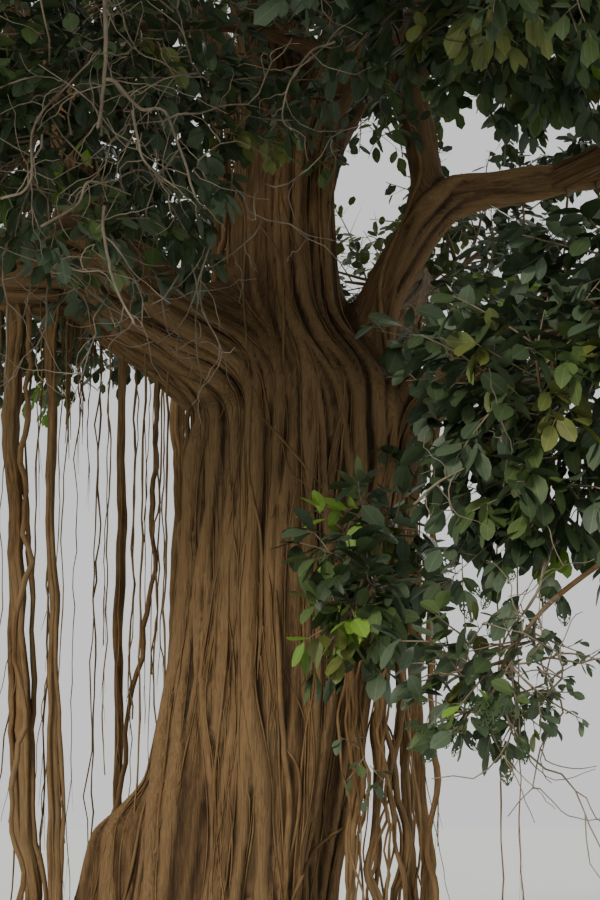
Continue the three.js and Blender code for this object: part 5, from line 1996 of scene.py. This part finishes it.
class Shader:
    """A material whose nodes are added by short calls."""

    def __init__(self, name):
        self.material = bpy.data.materials.new(name)
        self.material.use_nodes = True
        self.nodes = self.material.node_tree.nodes
        self.links = self.material.node_tree.links
        self.surface = self.nodes["Principled BSDF"]

    def node(self, kind, values=None, **settings):
        made = self.nodes.new(kind)
        for key, value in settings.items():
            setattr(made, key, value)
        for key, value in (values or {}).items():
            self.put(made.inputs[key], value)
        return made

    def put(self, socket, value):
        if isinstance(value, bpy.types.NodeSocket):
            self.links.new(value, socket)
        else:
            socket.default_value = value

    def attribute(self, name, output="Vector"):
        return self.node("ShaderNodeAttribute", attribute_name=name).outputs[output]

    def place(self):
        return self.node("ShaderNodeTexCoord").outputs["Object"]

    def along_grain(self, stretch):
        """The grain's coordinates, drawn out along the grain."""
        values = {"Vector": self.attribute("grain"), "Scale": (1, 1, stretch)}
        return self.node("ShaderNodeMapping", values).outputs[0]

    def noise(self, vector, scale, detail=4.0, rough=0.6, twist=0.0):
        values = {"Vector": vector, "Scale": scale, "Detail": detail, "Roughness": rough, "Distortion": twist}
        return self.node("ShaderNodeTexNoise", values).outputs["Fac"]

    def ranged(self, value, low, high, out_low=0.0, out_high=1.0):
        values = {"Value": value, "From Min": low, "From Max": high, "To Min": out_low, "To Max": out_high}
        return self.node("ShaderNodeMapRange", values).outputs[0]

    def math(self, operation, a, b=0.0):
        return self.node("ShaderNodeMath", {0: a, 1: b}, operation=operation).outputs[0]

    def mixed(self, share, a, b):
        """A mix of two colours, each a socket or three numbers."""
        a, b = (colour if isinstance(colour, bpy.types.NodeSocket) else (*colour, 1) for colour in (a, b))
        return self.node("ShaderNodeMix", {0: share, 6: a, 7: b}, data_type="RGBA").outputs[2]

    def bump(self, height, strength, distance, under=None):
        values = {"Height": height, "Strength": strength, "Distance": distance}
        if under:
            values["Normal"] = under
        return self.node("ShaderNodeBump", values).outputs[0]

    def finish(self, colour, roughness, normal=None, specular=0.3):
        self.put(self.surface.inputs["Base Color"], colour)
        self.put(self.surface.inputs["Roughness"], roughness)
        self.put(self.surface.inputs["Specular IOR Level"], specular)
        if normal:
            self.put(self.surface.inputs["Normal"], normal)
        return self.material


def bark_material():
    s = Shader("bark")
    broad = s.noise(s.along_grain(0.7), 9.0, 5.0)
    fine = s.noise(s.along_grain(0.45), 46.0, 4.0, 0.65, 0.4)
    hair = s.noise(s.along_grain(0.25), 95.0, 3.0)
    patch = s.noise(s.place(), 0.9, 4.0, 0.55)
    proud, hollow = s.attribute("proud", "Fac"), s.attribute("hollow", "Fac")
    colour = s.mixed(s.ranged(fine, 0.38, 0.62), *BARK_COLOURS)
    colour = s.mixed(s.ranged(broad, 0.35, 0.7, 0, 0.7), colour, BARK_BROWN)
    colour = s.mixed(s.ranged(patch, 0.5, 0.72, 0, 0.5), colour, BARK_PALE)
    colour = s.mixed(s.ranged(patch, 0.5, 0.3, 0, 0.5), colour, BARK_DARK)
    colour = s.mixed(s.ranged(proud, 0.2, 1.2, 0, 0.6), colour, BARK_PROUD)
    colour = s.mixed(s.ranged(hair, 0.5, 0.36, 0, 0.35), colour, BARK_CRACK)
    colour = s.mixed(s.ranged(hair, 0.55, 0.7, 0, 0.25), colour, BARK_HAIR)
    # Painted shade: the bark darkens nearly to black where its surface is hollow, in creases and between
    # strands
    colour = s.mixed(s.ranged(hollow, 0.05, 0.9, 0, 0.85), colour, BARK_HOLLOW_SHADE)
    height = s.math("ADD", fine, s.math("MULTIPLY", hair, 0.35))
    normal = s.bump(height, 0.9, 0.018, s.bump(broad, 0.7, 0.06))
    return s.finish(colour, s.ranged(fine, 0.3, 0.7, 0.95, 0.82), normal, 0.2)


def root_material():
    s = Shader("aerial root")
    fine = s.noise(s.along_grain(0.5), 90.0, 4.0, 0.6, 0.3)
    patch = s.noise(s.place(), 1.7, 4.0)
    colour = s.mixed(s.ranged(fine, 0.3, 0.7), *ROOT_COLOURS)
    colour = s.mixed(s.ranged(patch, 0.42, 0.7, 0, 0.7), colour, ROOT_PALE)
    colour = s.mixed(s.ranged(patch, 0.5, 0.3, 0, 0.6), colour, ROOT_DARK)
    return s.finish(colour, 0.88, s.bump(fine, 0.6, 0.008), 0.2)


def twig_material(name, colours):
    s = Shader(name)
    colour = s.mixed(s.ranged(s.noise(s.place(), 5.0, 3.0), 0.35, 0.65), *colours)
    return s.finish(colour, 0.8, s.bump(s.noise(s.along_grain(2.0), 60.0, 3.0), 0.4, 0.003), 0.25)


def leaf_material(kind):
    s = Shader(f"leaf {kind}")
    low, high = LEAF_COLOURS[kind]
    parts = s.node("ShaderNodeSeparateXYZ", {0: s.attribute("grain")})
    mottle = s.noise(s.place(), 22.0, 3.0)
    colour = s.mixed(parts.outputs[2], low, high)
    colour = s.mixed(s.ranged(mottle, 0.45, 0.75, 0, 0.35), colour, tuple(0.6 * c for c in low))
    rib = s.ranged(s.math("ABSOLUTE", parts.outputs[1]), 0.0, 0.02, 0.45, 0.0)
    colour = s.mixed(rib, colour, tuple(min(1.6 * c + 0.03, 1) for c in high))
    return s.finish(colour, 0.5, None, 0.35)


# The whole tree


def skin_measures(bark, vertices, quads):
    """How proud of the merged surface each vertex is, and how hollow the surface is round it, which places
    the painted shade in the bark.
    """
    many = len(vertices)
    proud = in_parts(bark.gap, vertices, 24) / PROUD_DEPTH
    sides = [(quads[:, k], quads[:, (k + 1) % 4]) for k in range(4)]
    count = np.maximum(sum(np.bincount(a, minlength=many) for a, _ in sides), 1)
    ends = [sum(np.bincount(a, vertices[b, axis], many) for a, b in sides) for axis in range(3)]
    pull = np.stack(ends, -1) / count[:, None] - vertices
    cross = np.cross(*(vertices[quads[:, k + 2]] - vertices[quads[:, k]] for k in (0, 1)))
    normals = [sum(np.bincount(a, cross[:, axis], many) for a, _ in sides) for axis in range(3)]
    hollow = (pull * unit(np.stack(normals, -1))).sum(1) / HOLLOW_DEPTH
    for _ in range(2):
        hollow = 0.5 * hollow + 0.5 * sum(np.bincount(a, hollow[b], many) for a, b in sides) / count
    return np.clip(proud, -1, 1.5), np.clip(hollow, 0, 1.5)


def grow_skin(limbs, bark, material):
    """The trunk and thick boughs as one skin, and the other boughs. Returns the skin's mesh."""
    vertices, quads = skin_of(bark, fused_strands(bark))
    proud, hollow = skin_measures(bark, vertices, quads)
    skin, outer = Skin(), Skin()
    skin.add(vertices, [quads], in_parts(bark.grain, vertices, 24))
    names = ["trunk"] + [bough.limb.name for bough in bark.boughs]
    skin.piece("trunk_and_boughs", material, "bark", names, {"proud": proud, "hollow": hollow})
    bough_tubes(outer, limbs, bark)
    above_ground(outer)
    outer.piece("outer_boughs", material, "bark", [name for name in limbs if name not in names])
    return vertices, quads


def sway_of(name, thick):
    """How far an aerial root strays from its line."""
    if name.startswith(CALM_ROOTS):
        return ROOT_SWAYS["curtain"]
    return ROOT_SWAYS["thin"] if thick[0] < THIN_ROOT else ROOT_SWAYS["thick"] * max(thick)


def grow_wood(limbs, roots):
    bark, root_bark = Bark(limbs), root_material()
    vertices, quads = grow_skin(limbs, bark, bark_material())
    fibres, hung, thin = Skin(), Skin(), Skin()
    lay_fibres(fibres, bark, vertices, quads)
    rng = draws("roots")
    for name, line, thick in roots:
        root_bundle(hung, line, thick, sway_of(name, thick), rng)
        if not name.startswith(CURTAIN["name"]) and thick[0] > THIN_ROOT:
            fray(hung, line, max(thick), FRAYED_ROOTS, rng)
        if line[-1, 2] < AT_GROUND:
            foot_rootlets(hung, line[-1], thick[1], rng)
    hang_thin_roots(thin, limbs)
    curtain_strands(thin)
    for skin in (fibres, hung, thin):
        above_ground(skin)
    fibres.piece("bark_fibres", root_bark, "bark")
    hung.piece("aerial_roots", root_bark, "aerial_root", [name for name, _, _ in roots])
    thin.piece("thin_roots", root_bark, "aerial_root")


def grow_crown(limbs, roots):
    masses = masses_of(limbs)
    crown = Crown(masses, Spaces(masses, obstacles_of(limbs, roots)), limbs)
    names = [mass["name"] for mass in masses]
    crown.wood.piece("crown_branches", twig_material("branch", BRANCH_COLOURS), "foliage", names)
    crown.twigs.piece("crown_twigs", twig_material("twig", TWIG_COLOURS), "foliage")
    bare = Skin()
    bare_twigs(bare)
    drawn_twigs(bare)
    bare.piece("bare_twigs", twig_material("bare twig", BARE_TWIG_COLOURS), "foliage")
    for kind in KINDS:
        skin, shader = Skin(), leaf_material(kind)
        gather_leaves(skin, NEAR_OUTLINE, np.concatenate(crown.leaves[kind, True]))
        gather_leaves(skin, FAR_OUTLINE, np.concatenate(crown.leaves[kind, False]))
        skin.piece(f"leaves_{kind}", shader, "foliage")
        if kind == EATEN_KIND:
            crown.eaten.piece("eaten_leaves", shader, "foliage")


# Camera, floor and light


def place_camera():
    camera = bpy.data.objects.new("camera", bpy.data.cameras.new("camera"))
    camera.location = CAMERA_PLACE
    camera.rotation_euler = (math.pi / 2 + CAMERA_TILT, 0, 0)
    camera.data.lens = CAMERA_LENS
    camera.data.sensor_width = CAMERA_SENSOR
    camera.data.sensor_fit = "AUTO"
    camera.data.clip_end = CAMERA_SIGHT
    bpy.context.scene.collection.objects.link(camera)
    bpy.context.scene.camera = camera


def lay_floor():
    mesh = bpy.data.meshes.new("floor")
    turns = [WHOLE_TURN * k / FLOOR_CORNERS for k in range(FLOOR_CORNERS)]
    corners = [(FLOOR_REACH * math.cos(turn), FLOOR_REACH * math.sin(turn), -FLOOR_DROP) for turn in turns]
    mesh.from_pydata(corners, [], [list(range(FLOOR_CORNERS))])
    mesh.materials.append(Shader("floor").finish(FLOOR_COLOUR, 0.9))
    floor = bpy.data.objects.new("floor", mesh)
    bpy.context.scene.collection.objects.link(floor)


def sun(name, heading, rise, strength, softness, colour):
    """Even light from a heading, counted like the trunk's, and a rise above the ground."""
    data = bpy.data.lights.new(name, "SUN")
    data.energy = strength
    data.angle = math.radians(softness)
    data.color = colour
    light = bpy.data.objects.new(name, data)
    light.rotation_euler = (math.radians(90 - rise), 0, math.radians(heading + 90))
    bpy.context.scene.collection.objects.link(light)


def light_scene():
    world = bpy.data.worlds.new("world")
    bpy.context.scene.world = world
    world.use_nodes = True
    background = world.node_tree.nodes["Background"]
    background.inputs[0].default_value = SKY_COLOUR
    background.inputs[1].default_value = SKY_STRENGTH
    for settings in SUNS:
        sun(*settings)


place_camera()
lay_floor()
light_scene()
limbs = grow_limbs()
roots = grow_roots(limbs)
grow_wood(limbs, roots)
grow_crown(limbs, roots)
